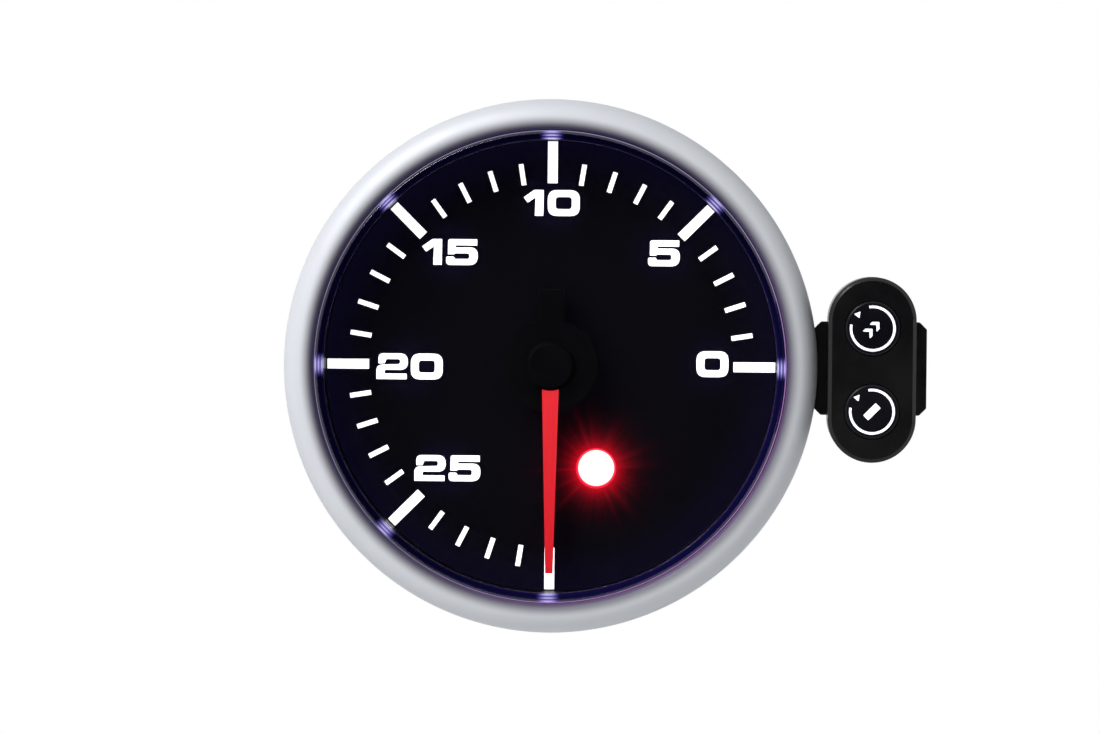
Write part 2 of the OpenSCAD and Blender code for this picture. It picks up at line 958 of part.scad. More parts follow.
module gear(teeth, module_size, turn, from_z, to_z) {
    pitch_r = teeth * module_size / 2;
    extruded(from_z, to_z)
        polygon(gear_outline(teeth, pitch_r - wheel_root_share * module_size,
                             pitch_r + wheel_top_share * module_size, wheel_shares, turn));
}

module pinion(module_size, turn, from_z, to_z) {
    pitch_r = pinion_leaves * module_size / 2;
    extruded(from_z, to_z)
        polygon(gear_outline(pinion_leaves, pitch_r - pinion_bottom_share * module_size,
                             pitch_r + pinion_top_share * module_size, pinion_shares, turn));
}

module output_wheel() {
    window_count = 5;
    window_r = 1;
    color("ivory")
        dial_frame()
            difference() {
                union() {
                    gear(output_teeth, output_module, 0, output_back, output_front);
                    rod(wheel_hub_r, output_back - float_z, output_front);
                    stop_arc(stop_at - stop_arc_half - stop_gap - stop_tab_half, stop_tab_half,
                             output_back - stop_h, output_back);
                }
                rod(shaft_r, output_back - cut, output_front + cut);
                for (i = [0 : window_count - 1])
                    rotate([0, 0, i * 360 / window_count])
                        translate([(wheel_hub_r + stop_in_r) / 2, 0, 0])
                            rod(window_r, output_back - cut, output_front + cut);
            }
}

module idler_wheel() {
    color("ivory")
        dial_frame()
            translate([0, idler_y, 0]) {
                gear(idler_teeth, idler_module, 0, idler_back, idler_front);
                pinion(output_module, 180 / pinion_leaves, idler_front, output_front + gap);
                rod(pivot_r, output_front, plate_in + pivot_l);
                rod(pivot_r, idler_back - gap - pivot_l, idler_back);
            }
}

module rotor_shaft() {
    color("ivory")
        dial_frame()
            translate([0, rotor_y, 0]) {
                pinion(idler_module, 180 / pinion_leaves, idler_back - gap, output_back - gap);
                rod(pivot_r, output_back - gap, output_back + pivot_l);
                rod(rotor_core_r, magnet_back, idler_back - gap);
                rod(pivot_r, base_in - pivot_l, magnet_back);
            }
}

module rotor_magnet() {
    color("gray")
        dial_frame()
            translate([0, rotor_y, 0])
                tube(magnet_d / 2, rotor_core_r, magnet_back, magnet_front);
}

module pointer_shaft() {
    color("silver")
        dial_frame()
            rod(shaft_r, base_in - motor_wall / 2 + gap, blade_up + blade_t / 2);
}

// Pointer, which points straight down at rest

module pointer_blade() {
    color("red")
        dial_frame()
            difference() {
                union() {
                    rod(boss_r, boss_bottom, blade_up + blade_t - gap);
                    extruded(blade_up, blade_up + blade_t)
                        polygon([
                            [-blade_root_w / 2, 0], [-blade_root_w / 2, -cap_r],
                            [-blade_tip_w / 2, -blade_reach], [blade_tip_w / 2, -blade_reach],
                            [blade_root_w / 2, -cap_r], [blade_root_w / 2, 0]]);
                }
                rod(shaft_r, boss_bottom - cut, blade_up + blade_t / 2);
            }
}

module pointer_hub() {
    channel_w = blade_root_w + 2 * fit;
    color("black")
        dial_frame()
            difference() {
                union() {
                    rod(hub_r, hub_bottom, hub_top);
                    translate([-tail_w / 2, 0, hub_bottom])
                        cube([tail_w, tail_reach, hub_top - hub_bottom]);
                    turned([
                        [0, hub_top - gap], [cap_r, hub_top - gap], [cap_r, hub_top + cap_h - cap_bevel],
                        [cap_r - cap_bevel, hub_top + cap_h], [0, hub_top + cap_h]]);
                }
                rod(boss_r + fit, hub_bottom - cut, blade_up + blade_t);
                translate([-channel_w / 2, -hub_r - cut, hub_bottom - cut])
                    cube([channel_w, hub_r + cut, blade_up + blade_t - hub_bottom + cut]);
            }
}

// Can, gasket and rear cover

module gauge_can() {
    color("dimgray")
        dial_frame()
            difference() {
                union() {
                    turned([
                        [ledge_r, -can_depth], [can_r, -can_depth], [can_r, 0], [collar_r, 0],
                        [collar_r, gasket_t], [flange_r, gasket_t], [flange_r, flange_z],
                        [rim_r, flange_z], [rim_r, snap_z - gap], [rim_r - snap_depth, snap_z],
                        [rim_r - snap_depth, snap_z + snap_w], [rim_r, snap_z + snap_w + gap],
                        [rim_r, rim_z], [bore_r, rim_z], [bore_r, board_back], [ledge_r, board_back]]);
                    translate([0, bore_r, 0])
                        block(key_w, 2 * key_h, board_back - fit, rim_z);
                    screw_places()
                        rod(screw_boss_r, -can_depth, -can_depth + boss_h);
                }
                screw_places()
                    rod(screw_d / 2 + fit, -can_depth - cut, -can_depth + boss_h - screw_d / 2);
            }
}

module screw_places() {
    for (i = [0 : screw_count - 1])
        rotate([0, 0, screw_turn + i * 360 / screw_count])
            translate([boss_at_r, 0, 0])
                children();
}

module panel_gasket() {
    color("black")
        dial_frame()
            tube(gasket_r, collar_r + fit, 0, gasket_t);
}

module rear_cover() {
    color("dimgray")
        dial_frame()
            difference() {
                union() {
                    turned([
                        [0, cover_back], [cover_r - cover_edge, cover_back],
                        [cover_r, cover_back + cover_edge], [cover_r, cover_front], [0, cover_front]]);
                    difference() {
                        tube(ledge_r - gap, ledge_r - gap - spigot_wall, cover_front - gap,
                             cover_front + spigot_h);
                        screw_places()
                            rod(screw_boss_r + loose, cover_front, cover_front + spigot_h + cut);
                    }
                    post_places() {
                        rod(post_r, cover_front - gap, link_back);
                        rod(post_pin_r, cover_front, link_front + post_pin_out);
                    }
                }
                screw_places()
                    rod(screw_d / 2 + gap, cover_back - cut, cover_front + cut);
                stud_places()
                    rod(stud_neck_r + fit, cover_back - cut, cover_front + cut);
                for (place_and_pins = sockets)
                    translate([place_and_pins[0].x, place_and_pins[0].y, 0])
                        block(socket_w(place_and_pins[1]) + 2 * loose, socket_h + 2 * loose,
                              cover_back - cut, cover_front + cut);
            }
}

module cover_screws() {
    color("silver")
        dial_frame()
            screw_places()
                difference() {
                    union() {
                        turned([
                            [0, cover_back - screw_head_h],
                            [screw_head_r * screw_head_flat_share, cover_back - screw_head_h],
                            [screw_head_r, cover_back - screw_head_h / 2], [screw_head_r, cover_back],
                            [0, cover_back]]);
                        rod(screw_d / 2, cover_back - gap, cover_back + screw_l);
                    }
                    for (turn = [0, 90])
                        rotate([0, 0, turn])
                            block(drive_w, screw_head_r, cover_back - screw_head_h - cut,
                                  cover_back - screw_head_h / 3);
                }
}

module stud_places() {
    for (side = [-1, 1])
        translate([side * stud_spacing / 2, 0, 0])
            children();
}

module mounting_studs() {
    stud_r = stud_d / 2;
    stud_end = cover_back - stud_l;
    color("silver")
        dial_frame()
            stud_places() {
                rod(stud_head_r, cover_front, cover_front + stud_head_t);
                rod(stud_neck_r, cover_back, cover_front + gap);
                turned([
                    [0, stud_end], [stud_r - stud_bevel, stud_end], [stud_r, stud_end + stud_bevel],
                    [stud_r, cover_back + gap], [0, cover_back + gap]]);
            }
}

// Remote pad, drawn about its own centre

module stadium(inset) {
    r = pad_w / 2 - inset;
    run = (pad_h - pad_w) / 2;
    for (end = [-1, 1])
        translate([0, end * run])
            circle(r = r);
    translate([-r, -run])
        square([2 * r, 2 * run]);
}

module button_places() {
    for (side = [-1, 1])
        translate([0, side * button_pitch / 2, 0])
            children();
}

module remote_tape() {
    color("black")
        pad_frame()
            block(bracket_w - 2 * tape_inset, bracket_h - 2 * tape_inset, 0, tape_t);
}

module remote_bracket() {
    half_w = bracket_w / 2;
    half_h = bracket_h / 2;
    color("black")
        pad_frame() {
            block(rail_w, bracket_h, pad_back - gap, pad_back + rail_h);
            extruded(tape_t, pad_back)
                polygon([
                    [-half_w, -half_h + bracket_bevel], [-half_w + bracket_bevel, -half_h],
                    [half_w - bracket_bevel, -half_h], [half_w, -half_h + bracket_bevel],
                    [half_w, half_h - bracket_bevel], [half_w - bracket_bevel, half_h],
                    [-half_w + bracket_bevel, half_h], [-half_w, half_h - bracket_bevel]]);
        }
}

module remote_case() {
    color("black")
        pad_frame()
            difference() {
                union() {
                    difference() {
                        extruded(pad_back, pad_split)
                            stadium(0);
                        extruded(pad_back + pad_floor, pad_split + cut)
                            stadium(pad_wall);
                    }
                    for (end = [-1, 1])
                        translate([0, end * (pad_h / 2 - pad_wall - pad_rest_w), 0])
                            block(pad_w / 2, 2 * pad_rest_w, pad_back + pad_floor - gap, pad_board_back);
                }
                block(rail_w + 2 * fit, bracket_h + 2 * fit, pad_back - cut, pad_back + rail_h + fit);
                translate([0, -pad_h / 2, 0])
                    block(inlet_w, 2 * (pad_wall + gap), pad_back + pad_floor,
                          pad_back + pad_floor + inlet_h);
            }
}

module remote_cover() {
    face_edge = pad_face - pad_chamfer;
    color("black")
        pad_frame()
            difference() {
                union() {
                    extruded(pad_split, face_edge)
                        stadium(0);
                    hull() {
                        extruded(face_edge - gap, face_edge)
                            stadium(0);
                        extruded(pad_face - gap, pad_face)
                            stadium(pad_chamfer);
                    }
                    extruded(pad_split - spigot_l, pad_split + gap)
                        stadium(pad_wall + fit);
                }
                extruded(pad_split - spigot_l - cut, pad_face - pad_face_t)
                    stadium(pad_wall + spigot_t);
                extruded(pad_split + pad_shelf_h, pad_face - pad_face_t)
                    stadium(pad_wall);
                button_places()
                    rod(button_r + fit, pad_split, pad_face + cut);
            }
}

module remote_board() {
    color("darkgreen")
        pad_frame()
            extruded(pad_board_back, pad_board_front)
                stadium(pad_wall + pad_board_gap);
}

module remote_switches() {
    color("dimgray")
        pad_frame()
            button_places()
                difference() {
                    block(switch_w, switch_w, pad_board_front, pad_board_front + switch_h);
                    rod(plunger_r + fit, pad_board_front + switch_h / 4,
                        pad_board_front + switch_h + cut);
                }
}

module plunger() {
    rod(plunger_r, pad_board_front + switch_h - plunger_in, button_flange_back);
}

module button() {
    turned([
        [0, button_flange_back], [button_r + button_flange_w, button_flange_back],
        [button_r + button_flange_w, button_flange_top], [button_r, button_flange_top],
        [button_r, button_top - button_edge], [button_r - button_edge, button_top],
        [0, button_top - dish_depth]]);
}

module peak_button() {
    color("black")
        pad_frame()
            translate([0, button_pitch / 2, 0])
                button();
}

module peak_plunger() {
    color("black")
        pad_frame()
            translate([0, button_pitch / 2, 0])
                plunger();
}

module warning_button() {
    color("black")
        pad_frame()
            translate([0, -button_pitch / 2, 0])
                button();
}

module warning_plunger() {
    color("black")
        pad_frame()
            translate([0, -button_pitch / 2, 0])
                plunger();
}

bezel();
lens();
lens_seal();
dial_ring();
dial_face();
scale_marks();
light_guide();
light_box();
backlight_leds();
warning_led();
circuit_board();
control_chip();
board_capacitors();
board_header();
header_pins();
connector_board();
power_socket();
sensor_socket();
remote_socket();
socket_pins();
motor_front_case();
motor_rear_case();
motor_stator();
motor_coils();
motor_pins();
rotor_shaft();
rotor_magnet();
idler_wheel();
output_wheel();
pointer_shaft();
pointer_blade();
pointer_hub();
gauge_can();
panel_gasket();
rear_cover();
cover_screws();
mounting_studs();
remote_tape();
remote_bracket();
remote_case();
remote_cover();
remote_board();
remote_switches();
peak_button();
peak_plunger();
warning_button();
warning_plunger();
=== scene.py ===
# %% [markdown]
# # A lit vacuum gauge with its button pad
# The model of the gauge arrives as a frame of exact solids, and this notebook dresses it.
# Plain pieces are copied from the frame and get softened edges. The bezel, lens, numerals,
# threads and button symbols are modelled here with bmesh, which is how a script builds a mesh.

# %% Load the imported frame
import json
import math

import bmesh
import bpy
from mathutils import Matrix, Vector


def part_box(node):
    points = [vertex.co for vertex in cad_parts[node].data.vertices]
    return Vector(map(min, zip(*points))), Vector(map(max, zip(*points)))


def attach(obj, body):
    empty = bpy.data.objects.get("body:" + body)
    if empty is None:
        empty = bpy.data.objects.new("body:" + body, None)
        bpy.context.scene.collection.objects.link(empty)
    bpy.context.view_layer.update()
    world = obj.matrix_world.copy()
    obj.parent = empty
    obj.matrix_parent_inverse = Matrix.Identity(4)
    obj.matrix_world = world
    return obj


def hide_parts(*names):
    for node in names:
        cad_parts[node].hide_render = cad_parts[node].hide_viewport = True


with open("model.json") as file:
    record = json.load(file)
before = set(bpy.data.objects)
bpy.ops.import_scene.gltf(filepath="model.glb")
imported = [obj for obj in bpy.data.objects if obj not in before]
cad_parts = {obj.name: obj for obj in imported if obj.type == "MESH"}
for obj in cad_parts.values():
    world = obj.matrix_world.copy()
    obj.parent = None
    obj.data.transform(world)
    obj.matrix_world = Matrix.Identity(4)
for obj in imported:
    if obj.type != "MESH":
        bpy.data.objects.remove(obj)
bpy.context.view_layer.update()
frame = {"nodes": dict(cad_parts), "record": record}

# %% [markdown]
# ## Which way is up
# The dial faces -Y, as a car's dashboard faces its driver. It is easier to draw on a dial with
# x to the right, y up and a height towards the reader, in millimetres, so one function turns
# such a place into the frame's metres. Every size below is in millimetres until it passes here.
# Only the distance below which two points are welded into one is in metres from the start.

# %% The dial's own coordinates
MM = 0.001
weld_distance = 1e-7


def on_dial(x, y, height):
    """A place given in millimetres on the dial, as a point of the frame."""
    return Vector((x * MM, -height * MM, y * MM))


def height_of(node):
    """The lowest and highest height of a solid above the panel, in millimetres."""
    low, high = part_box(node)
    return -high.y / MM, -low.y / MM


def centre_of(node):
    """The middle of a solid on the dial, in millimetres."""
    low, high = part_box(node)
    return (low.x + high.x) / 2 / MM, (low.z + high.z) / 2 / MM


dial_top = height_of("dial_face")[1]
print("the dial's face lies", round(dial_top, 2), "mm above the panel")

# %% [markdown]
# ## The camera
# The photograph looks almost straight at the dial, from a little above and to the right. A long
# lens keeps the ring round. Its length follows from two facts: how far away the camera stands,
# and how many pixels of the photograph one millimetre of the bezel covers.

# %% Place the camera
photo_width = 1100
pixels_per_mm = 8.09
camera_place = on_dial(16, 16, 650)
aim = on_dial(-0.16, -0.15, 0)
bezel_side_height = 4.4
camera_roll = math.radians(0.5)


def make_camera():
    """Point the camera at the dial with the photograph's scale, and roll it a little."""
    data = bpy.data.cameras.new("photo_camera")
    camera = bpy.data.objects.new("photo_camera", data)
    bpy.context.scene.collection.objects.link(camera)
    data.sensor_width = 36
    distance = -camera_place.y / MM - bezel_side_height
    data.lens = data.sensor_width * distance / (photo_width / pixels_per_mm)
    data.clip_start = 0.01
    look = (aim - camera_place).to_track_quat("-Z", "Y").to_matrix().to_4x4()
    camera.matrix_world = Matrix.Translation(camera_place) @ look @ Matrix.Rotation(camera_roll, 4, "Z")
    bpy.context.scene.camera = camera
    return data.lens


print("lens of", round(make_camera(), 1), "mm")

# %% [markdown]
# ## Shader helpers
# A finish is a material made of nodes. Plain values are set on the Principled shader itself.
# Patterns are measured from Object coordinates, which are metres here, so that a grain of a
# third of a millimetre is written as 3 per millimetre. One helper adds a node and plugs it in,
# and the others name the few patterns that the finishes share.

# %% Helpers that write materials
PER_MM = 1000.0


def new_finish(name, colour, roughness, **values):
    """A material with one Principled shader, its plain values set on the shader."""
    finish = bpy.data.materials.new(name)
    finish.use_nodes = True
    shader = finish.node_tree.nodes["Principled BSDF"]
    shader.inputs["Base Color"].default_value = (*colour, 1)
    shader.inputs["Roughness"].default_value = roughness
    for socket, value in values.items():
        shader.inputs[socket.replace("_", " ")].default_value = value
    return finish, shader


def add(finish, kind, inputs=None, **settings):
    """Add one node, set its options, and plug or set its inputs."""
    node = finish.node_tree.nodes.new(kind)
    for name, value in settings.items():
        setattr(node, name, value)
    for name, value in (inputs or {}).items():
        plug(finish, value, node.inputs[name])
    return node


def plug(finish, value, socket):
    """Link a socket or write a plain value."""
    if isinstance(value, bpy.types.NodeSocket):
        finish.node_tree.links.new(value, socket)
    else:
        socket.default_value = value


def place_of(finish):
    """Object coordinates of the point that is being shaded."""
    return add(finish, "ShaderNodeTexCoord").outputs["Object"]


def one_axis(finish, axis, vector=None):
    """The X, Y or Z of a vector, or else of the point that is being shaded."""
    return add(finish, "ShaderNodeSeparateXYZ", {0: vector or place_of(finish)}).outputs[axis]


def stretched(finish, *scale):
    """Object coordinates scaled along X, Y and Z, which makes a pattern long where it is small."""
    return add(finish, "ShaderNodeMapping", {"Vector": place_of(finish), "Scale": scale}).outputs[0]


def distance_from(finish, x, y):
    """How far the shaded point is from a place on the dial, and the way from there to it."""
    way = add(finish, "ShaderNodeMapping", {
        "Vector": place_of(finish), "Location": (-x * MM, 0, -y * MM), "Scale": (1, 0, 1)}).outputs[0]
    return add(finish, "ShaderNodeVectorMath", {0: way}, operation="LENGTH").outputs["Value"], way


def maths(finish, operation, first, second=0.0, clamp=False):
    """One step of arithmetic."""
    return add(finish, "ShaderNodeMath", {0: first, 1: second}, operation=operation,
               use_clamp=clamp).outputs[0]


def spread(finish, value, low, high, to_low=0.0, to_high=1.0, smooth=False):
    """Map a range of values onto another, held at its ends."""
    return add(finish, "ShaderNodeMapRange",
               {"Value": value, "From Min": low, "From Max": high, "To Min": to_low, "To Max": to_high},
               interpolation_type="SMOOTHSTEP" if smooth else "LINEAR").outputs["Result"]


def blend_colours(finish, share, first, second):
    """Mix two colours, each a socket or a plain triple."""
    first, second = [(*c, 1) if isinstance(c, tuple) else c for c in (first, second)]
    mix = add(finish, "ShaderNodeMix", {0: share, 6: first, 7: second}, data_type="RGBA")
    return mix.outputs[2]


def add_colours(finish, first, second):
    """The sum of two colours, as of two lights."""
    mix = add(finish, "ShaderNodeMix", {0: 1.0, 6: first, 7: second}, data_type="RGBA", blend_type="ADD")
    return mix.outputs[2]


def paint(finish, shader, share, first, second):
    """Blend two base colours by a pattern."""
    plug(finish, blend_colours(finish, share, first, second), shader.inputs["Base Color"])


def light_up(finish, shader, colour, strength):
    """Let a surface give off light of a colour, each a socket or a plain value."""
    plug(finish, colour, shader.inputs["Emission Color"])
    plug(finish, strength, shader.inputs["Emission Strength"])


def turn_of(finish, way):
    """The angle of a way on the dial, from three o'clock and against the clock."""
    return maths(finish, "ARCTAN2", one_axis(finish, "Z", way), one_axis(finish, "X", way))


def noise(finish, per_mm, detail=2.0, where=None):
    """A cloud of noise with so many features to the millimetre."""
    where = where or place_of(finish)
    return add(finish, "ShaderNodeTexNoise",
               {"Vector": where, "Scale": per_mm * PER_MM, "Detail": detail}).outputs["Fac"]


def raise_surface(finish, shader, height, depth_mm):
    """Let a height pattern tilt the surface's shading."""
    bump = add(finish, "ShaderNodeBump", {"Height": height, "Distance": depth_mm * MM})
    plug(finish, bump.outputs["Normal"], shader.inputs["Normal"])


def moulded(name, colour, roughness, grain_per_mm, depth_mm, patchiness=0.06, **values):
    """A moulded surface: fine grain in its height, and slow drifts in its gloss."""
    finish, shader = new_finish(name, colour, roughness, **values)
    raise_surface(finish, shader, noise(finish, grain_per_mm), depth_mm)
    drift = noise(finish, 0.25)
    gloss = spread(finish, drift, 0.35, 0.65, roughness - patchiness, roughness + patchiness)
    plug(finish, gloss, shader.inputs["Roughness"])
    return finish, shader


# %% [markdown]
# ## Plain finishes
# Most parts are moulded or plated and need only a colour, a gloss and a fine grain. A table
# holds these values: how many grains lie on a millimetre, how deep they are in millimetres, and
# how far the gloss drifts from place to place. Metals have a Metallic of their own.

# %% A table of plain finishes
plain_finishes = {
    "white_plastic": dict(colour=(0.80, 0.79, 0.75), roughness=0.5, grain_per_mm=6.0, depth_mm=0.006,
                          Subsurface_Weight=0.08, Subsurface_Scale=0.6 * MM),
    "can_black": dict(colour=(0.018, 0.018, 0.020), roughness=0.52, grain_per_mm=3.2, depth_mm=0.03,
                      patchiness=0.05, Specular_IOR_Level=0.4),
    "pad_black": dict(colour=(0.0030, 0.0030, 0.0036), roughness=0.22, grain_per_mm=7.0, depth_mm=0.002,
                      patchiness=0.03, Specular_IOR_Level=0.32),
    "button_black": dict(colour=(0.0030, 0.0030, 0.0055), roughness=0.24, grain_per_mm=7.0,
                         depth_mm=0.003, patchiness=0.04, Specular_IOR_Level=0.17),
    "hub_black": dict(colour=(0.0012, 0.0011, 0.0016), roughness=0.4, grain_per_mm=6.0, depth_mm=0.002,
                      patchiness=0.05, Specular_IOR_Level=0.04),
    "chip_black": dict(colour=(0.022, 0.022, 0.024), roughness=0.55, grain_per_mm=9.0, depth_mm=0.01),
    "black_rubber": dict(colour=(0.012, 0.012, 0.013), roughness=0.72, grain_per_mm=4.0, depth_mm=0.02,
                         patchiness=0.08, Specular_IOR_Level=0.3),
    "gold_pin": dict(colour=(0.80, 0.60, 0.27), roughness=0.28, grain_per_mm=12.0, depth_mm=0.003,
                     patchiness=0.08, Metallic=1.0),
    "magnet_grey": dict(colour=(0.10, 0.10, 0.11), roughness=0.5, grain_per_mm=8.0, depth_mm=0.012,
                        patchiness=0.1, Metallic=0.6),
}
finishes = {name: moulded(name, **values)[0] for name, values in plain_finishes.items()}
print(len(finishes), "plain finishes")

# %% [markdown]
# ## Metals
# The bezel is aluminium, blasted with beads and given a satin skin. Its gloss is so blurred that
# only soft light and shade are left, so the finish is metallic by a small share, and painted
# shade darkens it where the lip meets the lens. Zinc-plated steel has a bluish sparkle, drawn
# capacitor cans have fine rings and a dark stripe, and copper wire lies turn beside turn.

# %% Metal finishes
satin_colour = (0.63, 0.65, 0.69)
lip_shade = (0.075, 0.065, 0.095)
shade_from, shade_to = 29.3, 31.05
can_colour = (0.68, 0.69, 0.71)
stripe_edge = 11.85
wire_pitch = 0.14


def satin_silver():
    """A satin skin, with painted shade where the lip meets the lens."""
    finish, shader = moulded("satin_silver", satin_colour, 0.5, grain_per_mm=9.0, depth_mm=0.003,
                              patchiness=0.03, Metallic=0.12, Specular_IOR_Level=0.15)
    away, _ = distance_from(finish, 0, 0)
    # Painted shade: the base colour darkens towards the lip, for the shade that falls beside the lens.
    past_lip_shade = spread(finish, away, shade_from * MM, shade_to * MM, smooth=True)
    paint(finish, shader, past_lip_shade, lip_shade, satin_colour)
    return finish


def plated_steel():
    """Zinc plate, bluish here and warmer there."""
    finish, shader = moulded("steel", (0.60, 0.61, 0.63), 0.34, grain_per_mm=5.0, depth_mm=0.006,
                              patchiness=0.10, Metallic=1.0)
    tint = spread(finish, noise(finish, 0.6, 4.0), 0.4, 0.6)
    paint(finish, shader, tint, (0.56, 0.58, 0.62), (0.68, 0.67, 0.63))
    return finish


def striped_can():
    """Drawn aluminium, with the dark stripe that marks the negative lead."""
    finish, shader = new_finish("capacitor_silver", can_colour, 0.32, Metallic=1.0)
    rings = noise(finish, 1.0, 2.0, stretched(finish, 0.3, 14.0, 0.3))
    raise_surface(finish, shader, rings, 0.004)
    stripe = maths(finish, "LESS_THAN", one_axis(finish, "X"), stripe_edge * MM)
    paint(finish, shader, stripe, can_colour, (0.05, 0.05, 0.06))
    return finish


def copper_winding():
    """Enamelled wire, laid turn beside turn along the coil's upright axis."""
    finish, shader = new_finish("copper_wire", (0.62, 0.26, 0.10), 0.3, Metallic=0.9, Coat_Weight=0.6)
    per_turn = math.tau / (wire_pitch * MM)
    wave = maths(finish, "SINE", maths(finish, "MULTIPLY", one_axis(finish, "Z"), per_turn))
    raise_surface(finish, shader, wave, wire_pitch / 2)
    shade = spread(finish, noise(finish, 0.8), 0.3, 0.7)
    paint(finish, shader, shade, (0.50, 0.18, 0.06), (0.74, 0.34, 0.14))
    return finish


# %% [markdown]
# ## Foam, phosphor and boards
# The pad's tape is foam with small closed bubbles, and the lamps behind the dial have windows of
# yellow phosphor. The boards are glass cloth under green lacquer: right-angled tracks show
# through as a lighter green, with rows of tinned pads, whose radii are given in their grid.

# %% Foam, phosphor and board finishes
bubbles_per_mm = 4.5
track_cell = 1.5
track_line = 0.16
pad_grid = 2.54
tin_reach = 0.2
hole_reach = 0.09


def closed_cell_foam():
    """Small closed bubbles, cut open where the tape was slit."""
    finish, shader = new_finish("foam_black", (0.02, 0.02, 0.021), 0.85, Specular_IOR_Level=0.2)
    cells = {"Vector": place_of(finish), "Scale": bubbles_per_mm * PER_MM}
    bubble = add(finish, "ShaderNodeTexVoronoi", cells).outputs["Distance"]
    raise_surface(finish, shader, bubble, 0.12)
    # Painted shade: each opened bubble is darker towards its middle, where its hollow is deepest.
    paint(finish, shader, spread(finish, bubble, 0.1, 0.7), (0.008, 0.008, 0.009), (0.035, 0.035, 0.037))
    return finish


def yellow_phosphor():
    """A lamp whose window is filled with specks of yellow phosphor."""
    finish, shader = moulded("lamp_yellow", (0.82, 0.70, 0.22), 0.35, grain_per_mm=10.0, depth_mm=0.006)
    speck = spread(finish, noise(finish, 14.0, 1.0), 0.45, 0.6)
    paint(finish, shader, speck, (0.86, 0.62, 0.10), (0.90, 0.84, 0.50))
    return finish


def lacquered_board():
    """Green lacquer over tracks, with tinned pads on the usual grid."""
    finish, shader = new_finish("board_green", (0.012, 0.12, 0.045), 0.32, Coat_Weight=0.3)
    on_board = add(finish, "ShaderNodeMapping",
                   {"Vector": place_of(finish), "Rotation": (math.pi / 2, 0, 0)}).outputs[0]
    tracks = add(finish, "ShaderNodeTexBrick", {
        "Vector": on_board, "Scale": PER_MM, "Mortar Size": track_line, "Mortar Smooth": 0.2,
        "Brick Width": 4 * track_cell, "Row Height": track_cell}).outputs["Fac"]
    from_pad = add(finish, "ShaderNodeTexVoronoi",
                   {"Vector": on_board, "Scale": PER_MM / pad_grid, "Randomness": 0.25},
                   voronoi_dimensions="2D").outputs["Distance"]
    disc = maths(finish, "LESS_THAN", from_pad, tin_reach)
    hole = maths(finish, "LESS_THAN", from_pad, hole_reach)
    tinned = maths(finish, "SUBTRACT", disc, hole, clamp=True)
    copper = maths(finish, "SUBTRACT", 1.0, tracks)
    lacquer = blend_colours(finish, copper, (0.008, 0.085, 0.030), (0.020, 0.190, 0.075))
    with_pads = blend_colours(finish, tinned, lacquer, (0.62, 0.60, 0.55))
    # Painted shade: each hole is a near-black disc, for the shade inside the drilled hole.
    paint(finish, shader, hole, with_pads, (0.02, 0.02, 0.02))
    plug(finish, maths(finish, "MULTIPLY", tinned, 0.9), shader.inputs["Metallic"])
    raise_surface(finish, shader, maths(finish, "ADD", copper, tinned), 0.035)
    return finish


# %% [markdown]
# ## Lit parts
# The scale and numerals are holes in the black print, with white light behind them. They glow
# by themselves, so they use emission of about strength one, which renders as plain white, and a
# faint mottle keeps it from looking flat. The pointer is red acrylic that carries light from its
# root to its tip, a little darker at the tip. The warning lamp is white but for its red skirt.

# %% Finishes that glow
lamp_x, lamp_y = centre_of("warning_led")
lamp_core, lamp_skirt = 2.12, 2.32
pointer_root = 3.0
pointer_reach = -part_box("pointer_blade")[0].z / MM


def white_print(name, colour, mottle_per_mm, dim, bright, strength):
    """White print that glows: lit from behind on the dial, a painted glow on the buttons."""
    finish, shader = new_finish(name, colour, 0.6, Specular_IOR_Level=0.2)
    mottle = spread(finish, noise(finish, mottle_per_mm), 0.3, 0.7)
    light_up(finish, shader, blend_colours(finish, mottle, dim, bright), strength)
    return finish


def glowing_pointer():
    """Red acrylic: bright at its root, deeper towards its tip, with faint streaks along it."""
    finish, shader = new_finish("red_acrylic", (0.10, 0.002, 0.003), 0.3, Specular_IOR_Level=0.2)
    along = spread(finish, one_axis(finish, "Z"), -pointer_root * MM, -pointer_reach * MM)
    red = blend_colours(finish, along, (0.80, 0.024, 0.036), (0.60, 0.006, 0.016))
    streaks = noise(finish, 1.0, 2.0, stretched(finish, 3.0, 3.0, 0.2))
    light_up(finish, shader, red, spread(finish, streaks, 0.3, 0.7, 0.92, 1.0))
    return finish


def lamp_glow():
    """The warning lamp, so bright that its middle is white and only its skirt is red."""
    finish, shader = new_finish("lamp_red", (0.35, 0.01, 0.01), 0.2)
    away, _ = distance_from(finish, lamp_x, lamp_y)
    skirt = spread(finish, away, lamp_core * MM, lamp_skirt * MM, smooth=True)
    light_up(finish, shader, blend_colours(finish, skirt, (1.0, 0.97, 0.96), (0.62, 0.01, 0.03)), 1.6)
    return finish


# %% [markdown]
# ## The dial's black face
# The face is matt black print. Light leaks a little way through it, and the lens scatters more:
# there is a red pool round the warning lamp, with rays of uneven length, and a faint navy haze
# beside the numerals and along the rim. These glows are painted by distance, with no lamp.

# %% The dial's finish
numeral_places = {"0": (20.05, 0.35), "5": (13.9, 14.07), "10": (-0.1, 20.2), "15": (-12.7, 14.0),
                  "20": (-17.6, -0.27), "25": (-12.8, -12.9)}
numeral_haze = 5.5
rim_haze_from, rim_haze_to = 22.0, 28.5
pool_edge = 2.3
short_ray, long_ray = 1.75, 2.7
pool_falloff = -2.2
NO_LIGHT = (0.0, 0.0, 0.0)


